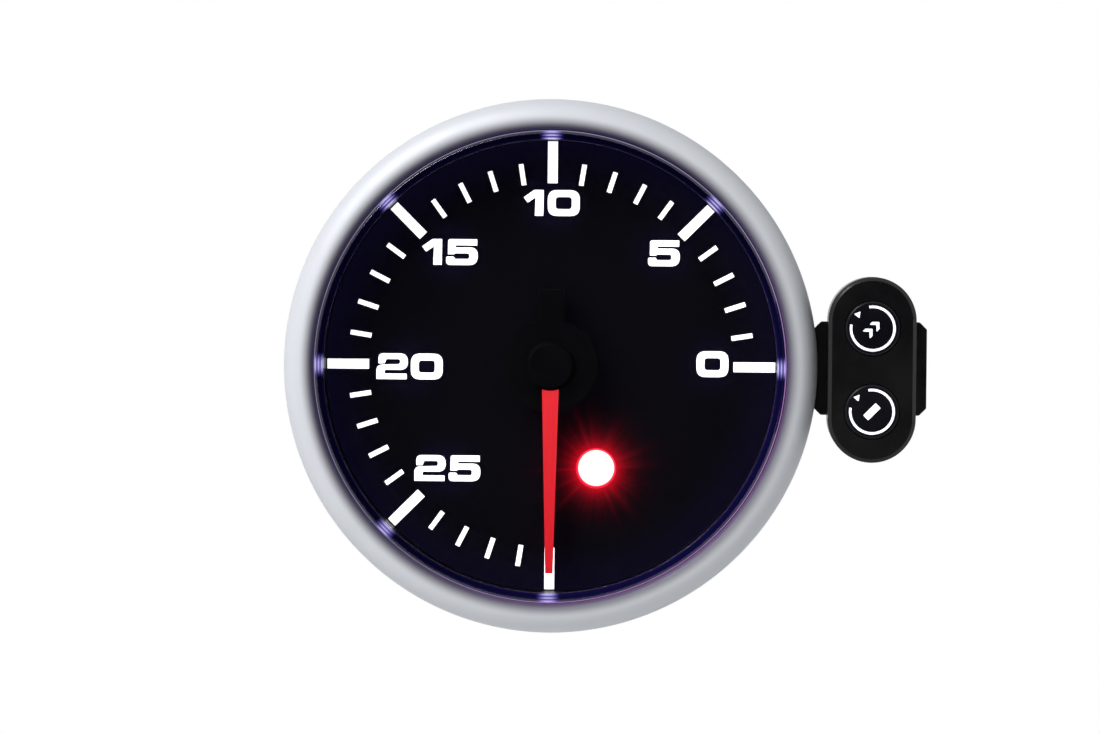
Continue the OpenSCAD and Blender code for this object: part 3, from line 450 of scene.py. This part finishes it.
def red_pool(finish):
    """The pool round the lamp: one at its edge, then a fade that is slower along a few rays."""
    away, way = distance_from(finish, lamp_x, lamp_y)
    by_turn = {"W": turn_of(finish, way), "Scale": 4.0, "Detail": 3.0}
    rays = add(finish, "ShaderNodeTexNoise", by_turn, noise_dimensions="1D").outputs["Fac"]
    reach = spread(finish, rays, 0.45, 0.75, short_ray * MM, long_ray * MM)
    past_edge = maths(finish, "MAXIMUM", maths(finish, "SUBTRACT", away, pool_edge * MM), 0.0)
    share = maths(finish, "DIVIDE", past_edge, reach)
    return maths(finish, "EXPONENT", maths(finish, "MULTIPLY", share, pool_falloff))


def navy_haze(finish):
    """Haze by the rim and round each numeral."""
    away, _ = distance_from(finish, 0, 0)
    total = spread(finish, away, rim_haze_from * MM, rim_haze_to * MM, 0.0, 0.7, smooth=True)
    for x, y in numeral_places.values():
        near, _ = distance_from(finish, x, y)
        haze = spread(finish, near, numeral_haze * MM, 1.0 * MM, 0.0, 0.6, smooth=True)
        total = maths(finish, "ADD", total, haze)
    return maths(finish, "MINIMUM", total, 1.0)


def dial_print():
    """Matt black print that glows with the haze and the pool."""
    finish, shader = moulded("dial_black", (0.0010, 0.0009, 0.0016), 0.6, grain_per_mm=3.0,
                              depth_mm=0.0008, patchiness=0.05, Specular_IOR_Level=0.03)
    haze = blend_colours(finish, navy_haze(finish), (0.0006, 0.0004, 0.0014), (0.0030, 0.0023, 0.0125))
    red = blend_colours(finish, red_pool(finish), NO_LIGHT, (0.75, 0.003, 0.016))
    light_up(finish, shader, add_colours(finish, haze, red), 1.0)
    return finish


# %% [markdown]
# ## Clear parts
# Clear plastic bends light, which Cycles works out, but it would also throw a solid shadow.
# So shadow rays pass straight through, by a mix with a Transparent shader. The lens is clear in
# its window. Its rim catches the violet backlight. That glow is painted: a thin line all round,
# which is warmest at the lower right, a dim haze inside it, and a striped glint beside each long
# mark, pale in its middle and blue at its ends.

# %% Clear finishes
window_radius = 28.0
rim_tint = (0.10, 0.09, 0.26)
rim_start = window_radius + 0.05
line_from, line_to = 29.02, 29.12
warm_reach = 40.0
glint_end, glint_full = math.radians(3.3), math.radians(0.4)
glint_pitch = 0.40
glint_level = 0.62
gap_side, gap_end = math.radians(10), math.radians(15)
dots_per_mm = 1.1


def let_shadows_pass(finish, shader):
    """Shadow rays see a Transparent shader in place of this one."""
    ray = add(finish, "ShaderNodeLightPath").outputs["Is Shadow Ray"]
    clear = add(finish, "ShaderNodeBsdfTransparent").outputs[0]
    mix = add(finish, "ShaderNodeMixShader", {0: ray, 1: shader.outputs[0], 2: clear})
    plug(finish, mix.outputs[0], finish.node_tree.nodes["Material Output"].inputs["Surface"])


def band(finish, away, low, high, soft):
    """One between two radii in millimetres, fading to nought over a soft edge on each side."""
    rise = spread(finish, away, (low - soft) * MM, low * MM, smooth=True)
    fall = spread(finish, away, high * MM, (high + soft) * MM, 1.0, 0.0, smooth=True)
    return maths(finish, "MULTIPLY", rise, fall)


def glints(finish, away, turn):
    """Painted glints: striped patches on the rim, every eighth of a turn but not at the lower right, past
    the scale.
    """
    aside = maths(finish, "PINGPONG", turn, math.tau / 16)
    patch = spread(finish, aside, glint_end, glint_full, smooth=True)
    from_gap = maths(finish, "ABSOLUTE", maths(finish, "ADD", turn, math.tau / 8))
    patch = maths(finish, "MULTIPLY", patch, spread(finish, from_gap, gap_side, gap_end))
    on_rim = band(finish, away, rim_start, window_radius + 1.0, 0.06)
    wave = maths(finish, "SINE", maths(finish, "MULTIPLY", away, math.tau / (glint_pitch * MM)))
    striped = spread(finish, wave, -1.0, 1.0, 0.25, 1.0)
    return maths(finish, "MULTIPLY", maths(finish, "MULTIPLY", patch, on_rim), striped)


def clear_lens():
    """A clear window, and a tinted rim with a painted glow and painted glints."""
    finish, shader = new_finish("clear_lens", (1.0, 1.0, 1.0), 0.0, Transmission_Weight=1.0, IOR=1.49,
                                Specular_IOR_Level=0.2)
    away, way = distance_from(finish, 0, 0)
    rim = spread(finish, away, window_radius * MM, (window_radius + 0.3) * MM)
    paint(finish, shader, rim, (1.0, 1.0, 1.0), rim_tint)
    lower_right = maths(finish, "SUBTRACT", one_axis(finish, "X", way), one_axis(finish, "Z", way))
    warm = spread(finish, lower_right, 0.0, warm_reach * MM, smooth=True)
    line_level = spread(finish, warm, 0.0, 1.0, 0.30, 0.5)
    line = maths(finish, "MULTIPLY", band(finish, away, line_from, line_to, 0.04), line_level)
    line_colour = blend_colours(finish, warm, (0.62, 0.55, 1.0), (0.80, 0.32, 0.85))
    shine = glints(finish, away, turn_of(finish, way))
    haze_level = spread(finish, warm, 0.0, 1.0, 0.010, 0.038)
    haze = maths(finish, "MULTIPLY", band(finish, away, rim_start, 29.0, 0.1), haze_level)
    cool = maths(finish, "ADD", maths(finish, "MULTIPLY", shine, glint_level), haze)
    cool_colour = blend_colours(finish, shine, (0.08, 0.06, 0.60), (0.66, 0.58, 1.0))
    inner = blend_colours(finish, cool, NO_LIGHT, cool_colour)
    outer = blend_colours(finish, line, NO_LIGHT, line_colour)
    light_up(finish, shader, add_colours(finish, inner, outer), 1.0)
    let_shadows_pass(finish, shader)
    return finish


def clear_acrylic():
    """The light guide, with rows of small dots that scatter the light out."""
    finish, shader = new_finish("clear_acrylic", (0.90, 0.94, 0.97), 0.08, Transmission_Weight=0.9,
                                IOR=1.49)
    rows = {"Vector": place_of(finish), "Scale": dots_per_mm * PER_MM, "Randomness": 0.0}
    dots = add(finish, "ShaderNodeTexVoronoi", rows).outputs["Distance"]
    raise_surface(finish, shader, spread(finish, dots, 0.18, 0.28), 0.05)
    let_shadows_pass(finish, shader)
    return finish


finishes.update({
    "satin_silver": satin_silver(), "clear_lens": clear_lens(), "dial_black": dial_print(),
    "clear_acrylic": clear_acrylic(), "lamp_yellow": yellow_phosphor(), "lamp_red": lamp_glow(),
    "board_green": lacquered_board(), "capacitor_silver": striped_can(), "steel": plated_steel(),
    "copper_wire": copper_winding(), "red_acrylic": glowing_pointer(), "foam_black": closed_cell_foam(),
    "lit_white": white_print("lit_white", (0.80, 0.80, 0.82), 1.6, (0.97, 0.97, 1.0),
                             (1.0, 1.0, 1.0), 1.05),
    # The buttons' print has no lamp behind it, so its glow is painted light.
    "button_white": white_print("button_white", (0.78, 0.79, 0.82), 5.0, (0.78, 0.78, 0.86),
                                (0.90, 0.90, 0.97), 0.8),
})
print(len(finishes), "finishes")

# %% [markdown]
# ## From a mesh to a named piece
# A piece is a mesh with a finish, a body that it moves with and the solids that it stands for.
# The frame's record says which body and which material slot each solid has, so a piece that
# stands for a solid looks both up there.

# %% Make pieces
slot_of = {part["node"]: part["material_slot"] for part in frame["record"]["subparts"]}
body_of = {node: body for body, nodes in frame["record"]["behaviour"]["bodies"].items() for node in nodes}


def finish_mesh(bm, name):
    """Write a bmesh into a mesh that is shaded smooth."""
    mesh = bpy.data.meshes.new(name)
    bm.to_mesh(mesh)
    bm.free()
    for polygon in mesh.polygons:
        polygon.use_smooth = True
    return mesh


def soften_edges(obj, width_mm, segments=3, angle=32):
    """Round every edge that is sharper than the angle, and let big flat faces look flat."""
    bevel = obj.modifiers.new("soft_edges", "BEVEL")
    bevel.width = width_mm * MM
    bevel.segments = segments
    bevel.limit_method = "ANGLE"
    bevel.angle_limit = math.radians(angle)
    bevel.harden_normals = True
    flat_faces = obj.modifiers.new("flat_faces", "WEIGHTED_NORMAL")
    flat_faces.keep_sharp = True


def add_piece(name, mesh, finish, body="root", stands_for=()):
    """Put a mesh in the scene as a piece of the object."""
    obj = bpy.data.objects.new(name, mesh)
    bpy.context.scene.collection.objects.link(obj)
    mesh.materials.clear()
    mesh.materials.append(finish)
    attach(obj, body)
    if stands_for:
        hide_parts(*stands_for)
    return obj


# %% [markdown]
# ## Turned parts
# The bezel and lens are turned shapes. A lathe would cut them from an outline, and bmesh.ops.spin
# does the same: it sweeps the outline round the dial's axis. The outline's round stretches are
# arcs worked out by a formula, so that only the corners are listed one by one.

# %% Spin an outline
turn_steps = 288


def arc(centre, radii, from_angle, to_angle, steps=14):
    """Points of an elliptical arc in the plane of the outline."""
    points = []
    for step in range(steps + 1):
        angle = math.radians(from_angle + (to_angle - from_angle) * step / steps)
        points.append((centre[0] + radii[0] * math.cos(angle), centre[1] + radii[1] * math.sin(angle)))
    return points


def turned(outline, centre=(0, 0), closed=True, steps=turn_steps):
    """Spin an outline of (radius, height) points, in millimetres, about an axis of the dial."""
    bm = bmesh.new()
    x, y = centre
    verts = [bm.verts.new(on_dial(x + radius, y, height)) for radius, height in outline]
    pairs = list(zip(verts, verts[1:]))
    if closed:
        pairs.append((verts[-1], verts[0]))
    edges = [bm.edges.new(pair) for pair in pairs]
    bmesh.ops.spin(bm, geom=verts + edges, cent=on_dial(x, y, 0), axis=(0, 1, 0), angle=math.tau,
                   steps=steps, use_merge=True)
    bmesh.ops.remove_doubles(bm, verts=bm.verts, dist=weld_distance)
    bmesh.ops.recalc_face_normals(bm, faces=bm.faces)
    return bm


# %% [markdown]
# ## The bezel
# The bezel snaps over the can's nose with a small bead inside its skirt. Its face rises in a
# tight curve from the lip that holds the lens to a crown, and falls in a wide one to the outer
# edge, which gives the ring its soft light and shade. Its radius, crown and back are read from
# the solid that it stands for.

# %% Make the bezel
bezel_low, bezel_crown = height_of("bezel")
bezel_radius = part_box("bezel")[1].x / MM
bezel_shoulder = 30.1
bezel_lip = 29.25
lip_back, lip_top = 6.2, 6.6
nose_bore = 29.6
bead_radius, bead_height, bead_half = 29.3, 4.0, 0.25
skirt_radius, skirt_back = 31.5, 3.45
foot_radius = 32.3


def make_bezel():
    """Turn the ring: bead, lip, face, foot and skirt."""
    bead = [(nose_bore, bead_height - bead_half), (bead_radius, bead_height),
            (nose_bore, bead_height + bead_half)]
    inner = [(nose_bore, skirt_back), *bead, (nose_bore, lip_back), (bezel_lip, lip_back)]
    rise = arc((bezel_shoulder, lip_top), (bezel_shoulder - bezel_lip, bezel_crown - lip_top), 180, 90)
    fall = arc((bezel_shoulder, bezel_side_height),
               (bezel_radius - bezel_shoulder, bezel_crown - bezel_side_height), 90, 0, 24)
    foot = arc((foot_radius, bezel_side_height),
               (bezel_radius - foot_radius, bezel_side_height - bezel_low), 0, -90)
    outline = inner + rise + fall[1:] + foot[1:] + [(skirt_radius, bezel_low), (skirt_radius, skirt_back)]
    obj = add_piece("bezel_ring", finish_mesh(turned(outline), "bezel_ring"), finishes["satin_silver"],
                    "root", ["bezel"])
    soften_edges(obj, 0.08, segments=2, angle=40)
    return obj


print("bezel:", len(make_bezel().data.polygons), "faces")

# %% [markdown]
# ## The lens
# A moulded lens is thicker at its rim than in its window. The flange sits under the bezel's lip,
# and the proud part stands a little higher than the bezel. Its front edge has a narrow cut at 45
# degrees, because a wide one would mirror the white studio all round. The glints at the long
# marks are painted light in its finish.

# %% Make the lens
lens_back, lens_front = height_of("lens")
flange_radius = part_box("lens")[1].x / MM
flange_width = 0.4
proud_radius = flange_radius - flange_width
edge_cut = 0.35
window_back = 5.9
flange_front = 6.1


def make_lens():
    """Turn the lens from its middle outwards and back."""
    outline = [(0, window_back), (window_radius, window_back), (window_radius, lens_back),
               (flange_radius, lens_back), (flange_radius, flange_front), (proud_radius, flange_front),
               (proud_radius, lens_front - edge_cut), (proud_radius - edge_cut, lens_front),
               (0, lens_front)]
    obj = add_piece("lens_moulding", finish_mesh(turned(outline, closed=False), "lens_moulding"),
                    finishes["clear_lens"], "root", ["lens"])
    soften_edges(obj, 0.06, angle=30)
    return obj


print("lens:", len(make_lens().data.polygons), "faces")

# %% [markdown]
# ## Numerals
# The numerals are wide, square figures. Each is drawn as an outline of corners, and every corner
# has its own radius, so a figure is a short list. A flat curve fills the outline, leaves the
# hole of the nought open and gives it thickness; it is then made a mesh and put in its place.

# %% Draw rounded outlines
corner_steps = 7
side_share = 0.499


def rounded(corners):
    """Replace each corner (x, y, radius) by a curve that takes less than half of each side."""
    points = []
    for index, (x, y, radius) in enumerate(corners):
        here = Vector((x, y))
        before = Vector(corners[index - 1][:2]) - here
        after = Vector(corners[(index + 1) % len(corners)][:2]) - here
        half = before.angle(after) / 2
        run = min(radius / math.tan(half), before.length * side_share, after.length * side_share)
        start = here + before.normalized() * run
        end = here + after.normalized() * run
        for step in range(corner_steps + 1):
            share = step / corner_steps
            points.append(start * (1 - share) ** 2 + here * 2 * share * (1 - share) + end * share ** 2)
    return points


def flat_shape(name, outlines, thickness, edge=0.0):
    """A mesh of filled outlines, standing on z = 0, from a two-dimensional curve."""
    curve = bpy.data.curves.new(name, "CURVE")
    curve.dimensions = "2D"
    curve.fill_mode = "BOTH"
    curve.extrude = thickness / 2 * MM
    curve.bevel_depth = edge * MM
    curve.bevel_resolution = 2
    for outline in outlines:
        spline = curve.splines.new("POLY")
        spline.points.add(len(outline) - 1)
        for point, place in zip(spline.points, outline):
            point.co = (place[0] * MM, place[1] * MM, 0, 1)
        spline.use_cyclic_u = True
    holder = bpy.data.objects.new(name, curve)
    mesh = bpy.data.meshes.new_from_object(holder)
    bpy.data.objects.remove(holder)
    bpy.data.curves.remove(curve)
    mesh.name = name
    return mesh


def lay_on_dial(mesh, x, y, height):
    """Stand a flat mesh up to face the reader and put its middle at a place on the dial."""
    bm = bmesh.new()
    bm.from_mesh(mesh)
    bmesh.ops.remove_doubles(bm, verts=bm.verts, dist=weld_distance)
    stand = Matrix.Rotation(math.pi / 2, 4, "X")
    bmesh.ops.transform(bm, matrix=Matrix.Translation(on_dial(x, y, height)) @ stand, verts=bm.verts)
    bmesh.ops.recalc_face_normals(bm, faces=bm.faces)
    bm.to_mesh(mesh)
    bm.free()
    return mesh


# %% [markdown]
# ## The figures themselves
# Only four figures are needed. Each has its width and its outlines, with corners as (x, y,
# radius) in millimetres, and a gap that follows it where another figure comes next.

# %% The figures
figure_height = 3.2
figures = {
    "0": (3.95, [
        [(0, 0, 1.15), (3.95, 0, 1.15), (3.95, 3.2, 1.15), (0, 3.2, 1.15)],
        [(0.97, 0.84, 0.42), (2.98, 0.84, 0.42), (2.98, 2.36, 0.42), (0.97, 2.36, 0.42)]]),
    "1": (2.48, [
        [(1.40, 0, 0.06), (2.44, 0, 0.06), (2.48, 3.2, 0.12), (1.30, 3.2, 0.3), (0.0, 2.28, 0.1),
         (0.50, 1.62, 0.12), (1.48, 2.30, 0.05)]]),
    "2": (3.9, [
        [(0, 0, 0.06), (3.75, 0, 0.06), (3.75, 0.68, 0.06), (0.98, 0.68, 0.1), (1.02, 1.17, 0.25),
         (3.88, 1.17, 0.95), (3.88, 3.2, 1.0), (0.24, 3.2, 0.95), (0.24, 1.95, 0.06), (1.0, 1.95, 0.08),
         (1.22, 2.50, 0.15), (2.94, 2.50, 0.3), (2.94, 1.86, 0.3), (0.0, 1.78, 0.75)]]),
    "5": (3.92, [
        [(0.24, 3.2, 0.3), (3.84, 3.2, 0.06), (3.84, 2.44, 0.06), (1.16, 2.44, 0.04), (1.14, 2.18, 0.04),
         (3.92, 2.18, 0.95), (3.92, 0, 1.1), (0, 0, 0.95), (0, 1.04, 0.2), (0.92, 1.04, 0.08),
         (1.12, 0.74, 0.1), (2.88, 0.74, 0.28), (2.88, 1.45, 0.28), (1.12, 1.45, 0.1), (1.02, 1.32, 0.04),
         (0.22, 1.32, 0.06)]]),
}
gap_after = {"0": 0.4, "1": 0.52, "2": 0.38, "5": 0.4}
figure_thickness = 0.1
figure_edge = 0.01


def make_numeral(text, place):
    """One number of the scale, its figures side by side and centred on its place."""
    width = sum(figures[f][0] for f in text) + sum(gap_after[f] for f in text[:-1])
    outlines = []
    left = -width / 2
    for figure in text:
        own_width, parts = figures[figure]
        for part in parts:
            outlines.append([(p.x + left, p.y - figure_height / 2) for p in rounded(part)])
        left += own_width + gap_after[figure]
    mesh = flat_shape("numeral_" + text, outlines, figure_thickness, figure_edge)
    lay_on_dial(mesh, place[0], place[1], dial_top + figure_thickness / 2)
    add_piece("numeral_" + text, mesh, finishes["lit_white"])
    return len(mesh.polygons)


for numeral, numeral_place in numeral_places.items():
    print("numeral", numeral, "has", make_numeral(numeral, numeral_place), "faces")

# %% [markdown]
# ## Symbols on the buttons
# Each button has a broken ring with a small triangle in its gap, a common sign for turning
# through settings. Inside it the upper one has a pair of chevrons and the lower one a plain bar.
# They are printed, so they are thin and lie on the button's shallow dish, and they move with it.

# %% Make the button symbols
ring_outer = 2.82
ring_line = 0.31
ring_gap = (100, 170)
ring_steps = 60
sign_thickness = 0.06
sign_print = 0.012


def ring_outline():
    """The broken ring, drawn from one side of its gap round to the other."""
    from_angle, to_angle = ring_gap[1], ring_gap[0] + 360
    outside, inside = [arc((0, 0), (radius, radius), from_angle, to_angle, ring_steps)
                       for radius in (ring_outer, ring_outer - ring_line)]
    return outside + inside[::-1]


def turned_outline(corners, degrees, shift=(0, 0)):
    """Round an outline's corners, then turn and shift it."""
    turn = Matrix.Rotation(math.radians(degrees), 2)
    return [turn @ p + Vector(shift) for p in rounded(corners)]


triangle = [(-0.42, -0.34, 0.08), (0.42, -0.34, 0.08), (0.0, 0.42, 0.08)]
bar = [(-1.08, -0.44, 0.1), (1.08, -0.44, 0.1), (1.08, 0.44, 0.1), (-1.08, 0.44, 0.1)]
chevron = [(-0.55, -0.62, 0.06), (-0.05, -0.62, 0.06), (0.55, 0.0, 0.08), (-0.05, 0.62, 0.06),
           (-0.55, 0.62, 0.06), (0.02, 0.0, 0.08)]
triangle_radius = 2.5
triangle_angle = math.radians(135)
triangle_place = (triangle_radius * math.cos(triangle_angle), triangle_radius * math.sin(triangle_angle))
triangle_turn = -38
sign_turn = 45
chevron_shift = 0.42
button_dish = 0.12
dish_radius = 3.15


def sink_into_dish(mesh, x, y):
    """Lower each point of a print to the dish that it lies on."""
    for vertex in mesh.vertices:
        away = math.hypot(vertex.co.x / MM - x, vertex.co.z / MM - y)
        vertex.co.y += button_dish * (1 - min(away / dish_radius, 1)) * MM


def make_sign(name, node, inner):
    """A ring, its triangle and the inner shapes, on one button."""
    x, y = centre_of(node)
    top = height_of(node)[1]
    outlines = [ring_outline(), turned_outline(triangle, triangle_turn, triangle_place)] + inner
    mesh = flat_shape(name, outlines, sign_thickness)
    lay_on_dial(mesh, x, y, top + sign_print - sign_thickness / 2)
    sink_into_dish(mesh, x, y)
    add_piece(name, mesh, finishes["button_white"], body_of[node])
    return len(mesh.polygons)


chevrons = [turned_outline(chevron, sign_turn, (shift, shift))
            for shift in (-chevron_shift, chevron_shift)]
bars = [turned_outline(bar, sign_turn)]
print("upper sign:", make_sign("peak_button_sign", "peak_button", chevrons), "faces")
print("lower sign:", make_sign("warning_button_sign", "warning_button", bars), "faces")

# %% [markdown]
# ## Threaded studs
# A thread is a small ridge wound round a core. Spin can climb as it turns, when it is given a
# step along the axis, so one blunt triangle becomes the whole ridge. Its corners are given as a
# radius and a share of the pitch. The core is a turned rod with a cut end, and a head holds the
# stud inside the cover.

# %% Make the mounting studs
stud_pitch = 0.7
stud_radius, stud_root = 2.0, 1.62
ridge_foot = stud_root - 0.05
head_height = 1.0
plain_length = 0.8
thread_end = 0.3
end_cut = 0.35
thread_steps = 24


def add_thread(bm, x, from_height, to_height):
    """Wind a ridge round a rod at x, from one height down to another."""
    steps = int((from_height - to_height - stud_pitch) / stud_pitch * thread_steps)
    profile = [(ridge_foot, 0.1), (stud_radius, 0.52), (stud_radius, 0.60), (ridge_foot, 1.02)]
    verts = [bm.verts.new(on_dial(x + radius, 0, from_height - share * stud_pitch))
             for radius, share in profile]
    edges = [bm.edges.new(pair) for pair in zip(verts, verts[1:] + verts[:1])]
    ridge = verts + edges + [bm.faces.new(verts)]
    bmesh.ops.spin(bm, geom=ridge, cent=on_dial(x, 0, 0), axis=(0, 1, 0), steps=steps,
                   angle=math.tau * steps / thread_steps, dvec=(0, stud_pitch * MM / thread_steps, 0))


def make_studs():
    """Turn both rods, wind their threads and join them into one piece."""
    low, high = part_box("mounting_studs")
    back, front = height_of("mounting_studs")
    head = (high.z - low.z) / 2 / MM
    spacing = (high.x - low.x) / MM / 2 - head
    plain_end = height_of("rear_cover")[0] - plain_length
    outline = [(0, front), (head, front), (head, front - head_height), (stud_radius, front - head_height),
               (stud_radius, plain_end), (stud_root, plain_end - thread_end), (stud_root, back + end_cut),
               (stud_root - end_cut, back), (0, back)]
    whole = bmesh.new()
    for x in (-spacing, spacing):
        rod = turned(outline, (x, 0), closed=False, steps=2 * thread_steps)
        rod_mesh = bpy.data.meshes.new("rod")
        rod.to_mesh(rod_mesh)
        rod.free()
        whole.from_mesh(rod_mesh)
        bpy.data.meshes.remove(rod_mesh)
        add_thread(whole, x, plain_end, back + thread_end)
    bmesh.ops.recalc_face_normals(whole, faces=whole.faces)
    mesh = finish_mesh(whole, "threaded_studs")
    obj = add_piece("threaded_studs", mesh, finishes["steel"], "root", ["mounting_studs"])
    soften_edges(obj, 0.04, segments=1, angle=35)
    return obj


print("studs:", len(make_studs().data.polygons), "faces")

# %% [markdown]
# ## Softened copies of the plain solids
# An exact solid has knife edges, which no moulded or stamped part has. Its mesh must stay as it
# is, so each is copied. The copy's triangles are joined into flat faces, and a Bevel modifier
# rounds its edges by a width that suits the part: more on a casing, less on a pin or a tooth.
# A Weighted Normal modifier after it keeps the shading of the broad faces flat. The dial's spacer
# ring and the pointer's cap share a slot with the dial, but get the plain black of the cap.

# %% Soften and finish every other solid
edge_width = {
    "gauge_can": 0.18, "rear_cover": 0.25, "panel_gasket": 0.3, "cover_screws": 0.12, "lens_seal": 0.12,
    "dial_ring": 0.08, "dial_face": 0.05, "scale_marks": 0.04, "light_guide": 0.15, "light_box": 0.15,
    "backlight_leds": 0.12, "warning_led": 0.08, "circuit_board": 0.06, "control_chip": 0.08,
    "board_capacitors": 0.25, "board_header": 0.1, "header_pins": 0.08, "connector_board": 0.06,
    "power_socket": 0.12, "sensor_socket": 0.12, "remote_socket": 0.12, "socket_pins": 0.08,
    "motor_front_case": 0.15, "motor_rear_case": 0.15, "motor_stator": 0.06, "motor_coils": 0.12,
    "motor_pins": 0.05, "rotor_shaft": 0.03, "rotor_magnet": 0.12, "idler_wheel": 0.02,
    "output_wheel": 0.02, "pointer_shaft": 0.06, "pointer_blade": 0.12, "pointer_hub": 0.15,
    "remote_tape": 0.08, "remote_bracket": 0.12, "remote_case": 0.2, "remote_cover": 0.1,
    "remote_board": 0.06, "remote_switches": 0.12, "peak_button": 0.06, "peak_plunger": 0.06,
    "warning_button": 0.06, "warning_plunger": 0.06,
}
own_finish = {"pointer_hub": finishes["hub_black"], "dial_ring": finishes["hub_black"]}
solid_weld = 1e-6
flat_angle = math.radians(0.5)


def softened_copy(node, width):
    """Copy a solid, join its flat triangles, round its edges and let it stand for the solid."""
    bm = bmesh.new()
    bm.from_mesh(frame["nodes"][node].data)
    bmesh.ops.remove_doubles(bm, verts=bm.verts, dist=solid_weld)
    bmesh.ops.dissolve_limit(bm, angle_limit=flat_angle, verts=bm.verts, edges=bm.edges)
    mesh = finish_mesh(bm, node + "_part")
    finish = own_finish.get(node, finishes[slot_of[node]])
    obj = add_piece(node + "_part", mesh, finish, body_of[node], [node])
    soften_edges(obj, width, segments=2)


for solid, width in edge_width.items():
    softened_copy(solid, width)
print(len(edge_width), "solids softened")

# %% [markdown]
# ## The studio
# The photograph has a pure white ground and soft light from the upper left. A white card would
# flood the scene, so the world is white only to rays that come from the camera, a gloss or a
# glass, and a dim white to all others. One large soft lamp does the rest. A black card behind
# the camera is what the flat lens mirrors, and a dark grey one at the lower right gives the bezel
# its shaded side. The floor keeps the object's shadow and fades to white further off. Places and
# sizes of the lamp, the cards and the floor are in metres.

# %% Set the studio
scene = bpy.context.scene
scene.view_settings.view_transform = "Standard"
world_level = 0.2
key_place, key_size, key_level = Vector((-0.60, -0.62, 0.80)), 0.6, 0.98
black_place, black_side = on_dial(20, 0, 670), 0.40
grey_place, grey_side, grey_level = Vector((0.34, -0.34, -0.28)), 0.90, 0.12
floor_place, floor_side = on_dial(0, -78, 0), 30
fade_from, fade_to = 0.05, 0.13


def bright_rays(owner):
    """One for rays from the camera, a gloss or a glass, and nought for others."""
    path = add(owner, "ShaderNodeLightPath")
    some = maths(owner, "ADD", path.outputs["Is Camera Ray"], path.outputs["Is Glossy Ray"], clamp=True)
    return maths(owner, "ADD", some, path.outputs["Is Transmission Ray"], clamp=True)


def make_world():
    """White to bright rays, dim to all others."""
    world = bpy.data.worlds.new("studio")
    world.use_nodes = True
    scene.world = world
    background = world.node_tree.nodes["Background"]
    background.inputs["Color"].default_value = (1, 1, 1, 1)
    level = spread(world, bright_rays(world), 0.0, 1.0, world_level, 1.0)
    plug(world, level, background.inputs["Strength"])


def make_lamp(name, place, size, level):
    """A soft square lamp that gives a white wall at the dial this brightness."""
    data = bpy.data.lights.new(name, "AREA")
    data.size = size
    lamp = bpy.data.objects.new(name, data)
    scene.collection.objects.link(lamp)
    facing = (-place).to_track_quat("-Z", "Y").to_matrix().to_4x4()
    lamp.matrix_world = Matrix.Translation(place) @ facing
    data.energy = level * math.pi ** 2 * place.length ** 2


def square(name, side, place):
    """A flat square with its corners moved by a matrix."""
    bm = bmesh.new()
    bmesh.ops.create_grid(bm, x_segments=1, y_segments=1, size=side / 2)
    bmesh.ops.transform(bm, matrix=place, verts=bm.verts)
    mesh = bpy.data.meshes.new(name)
    bm.to_mesh(mesh)
    bm.free()
    return mesh


def flat_card(name, centre, side, level):
    """A square card that faces the dial and is seen only in reflections."""
    finish, shader = new_finish(name, NO_LIGHT, 1.0, Specular_IOR_Level=0.0)
    light_up(finish, shader, (1, 1, 1, 1), level)
    facing = (-centre).to_track_quat("Z", "Y").to_matrix().to_4x4()
    mesh = square(name, side, Matrix.Translation(centre) @ facing)
    card = bpy.data.objects.new(name, mesh)
    scene.collection.objects.link(card)
    mesh.materials.append(finish)
    card.visible_camera = False
    card.visible_shadow = False
    card.visible_diffuse = False


def make_floor():
    """A pale floor that keeps the object's shadow near it and fades to white further off."""
    finish, shader = new_finish("studio_floor", (0.93, 0.93, 0.93), 0.9, Specular_IOR_Level=0.0)
    away = add(finish, "ShaderNodeVectorMath", {0: place_of(finish)}, operation="LENGTH").outputs["Value"]
    far = spread(finish, away, fade_from, fade_to, smooth=True)
    white = add(finish, "ShaderNodeEmission", {"Color": (1, 1, 1, 1), "Strength": 1.0})
    share = maths(finish, "MULTIPLY", far, bright_rays(finish))
    mix = add(finish, "ShaderNodeMixShader", {0: share, 1: shader.outputs[0], 2: white.outputs[0]})
    plug(finish, mix.outputs[0], finish.node_tree.nodes["Material Output"].inputs["Surface"])
    mesh = square("studio_floor", floor_side, Matrix.Identity(4))
    floor = bpy.data.objects.new("studio_floor", mesh)
    scene.collection.objects.link(floor)
    floor.location = floor_place
    mesh.materials.append(finish)


make_world()
make_floor()
make_lamp("key_lamp", key_place, key_size, key_level)
flat_card("camera_card", black_place, black_side, 0.0)
flat_card("grey_card", grey_place, grey_side, grey_level)
print("studio ready")
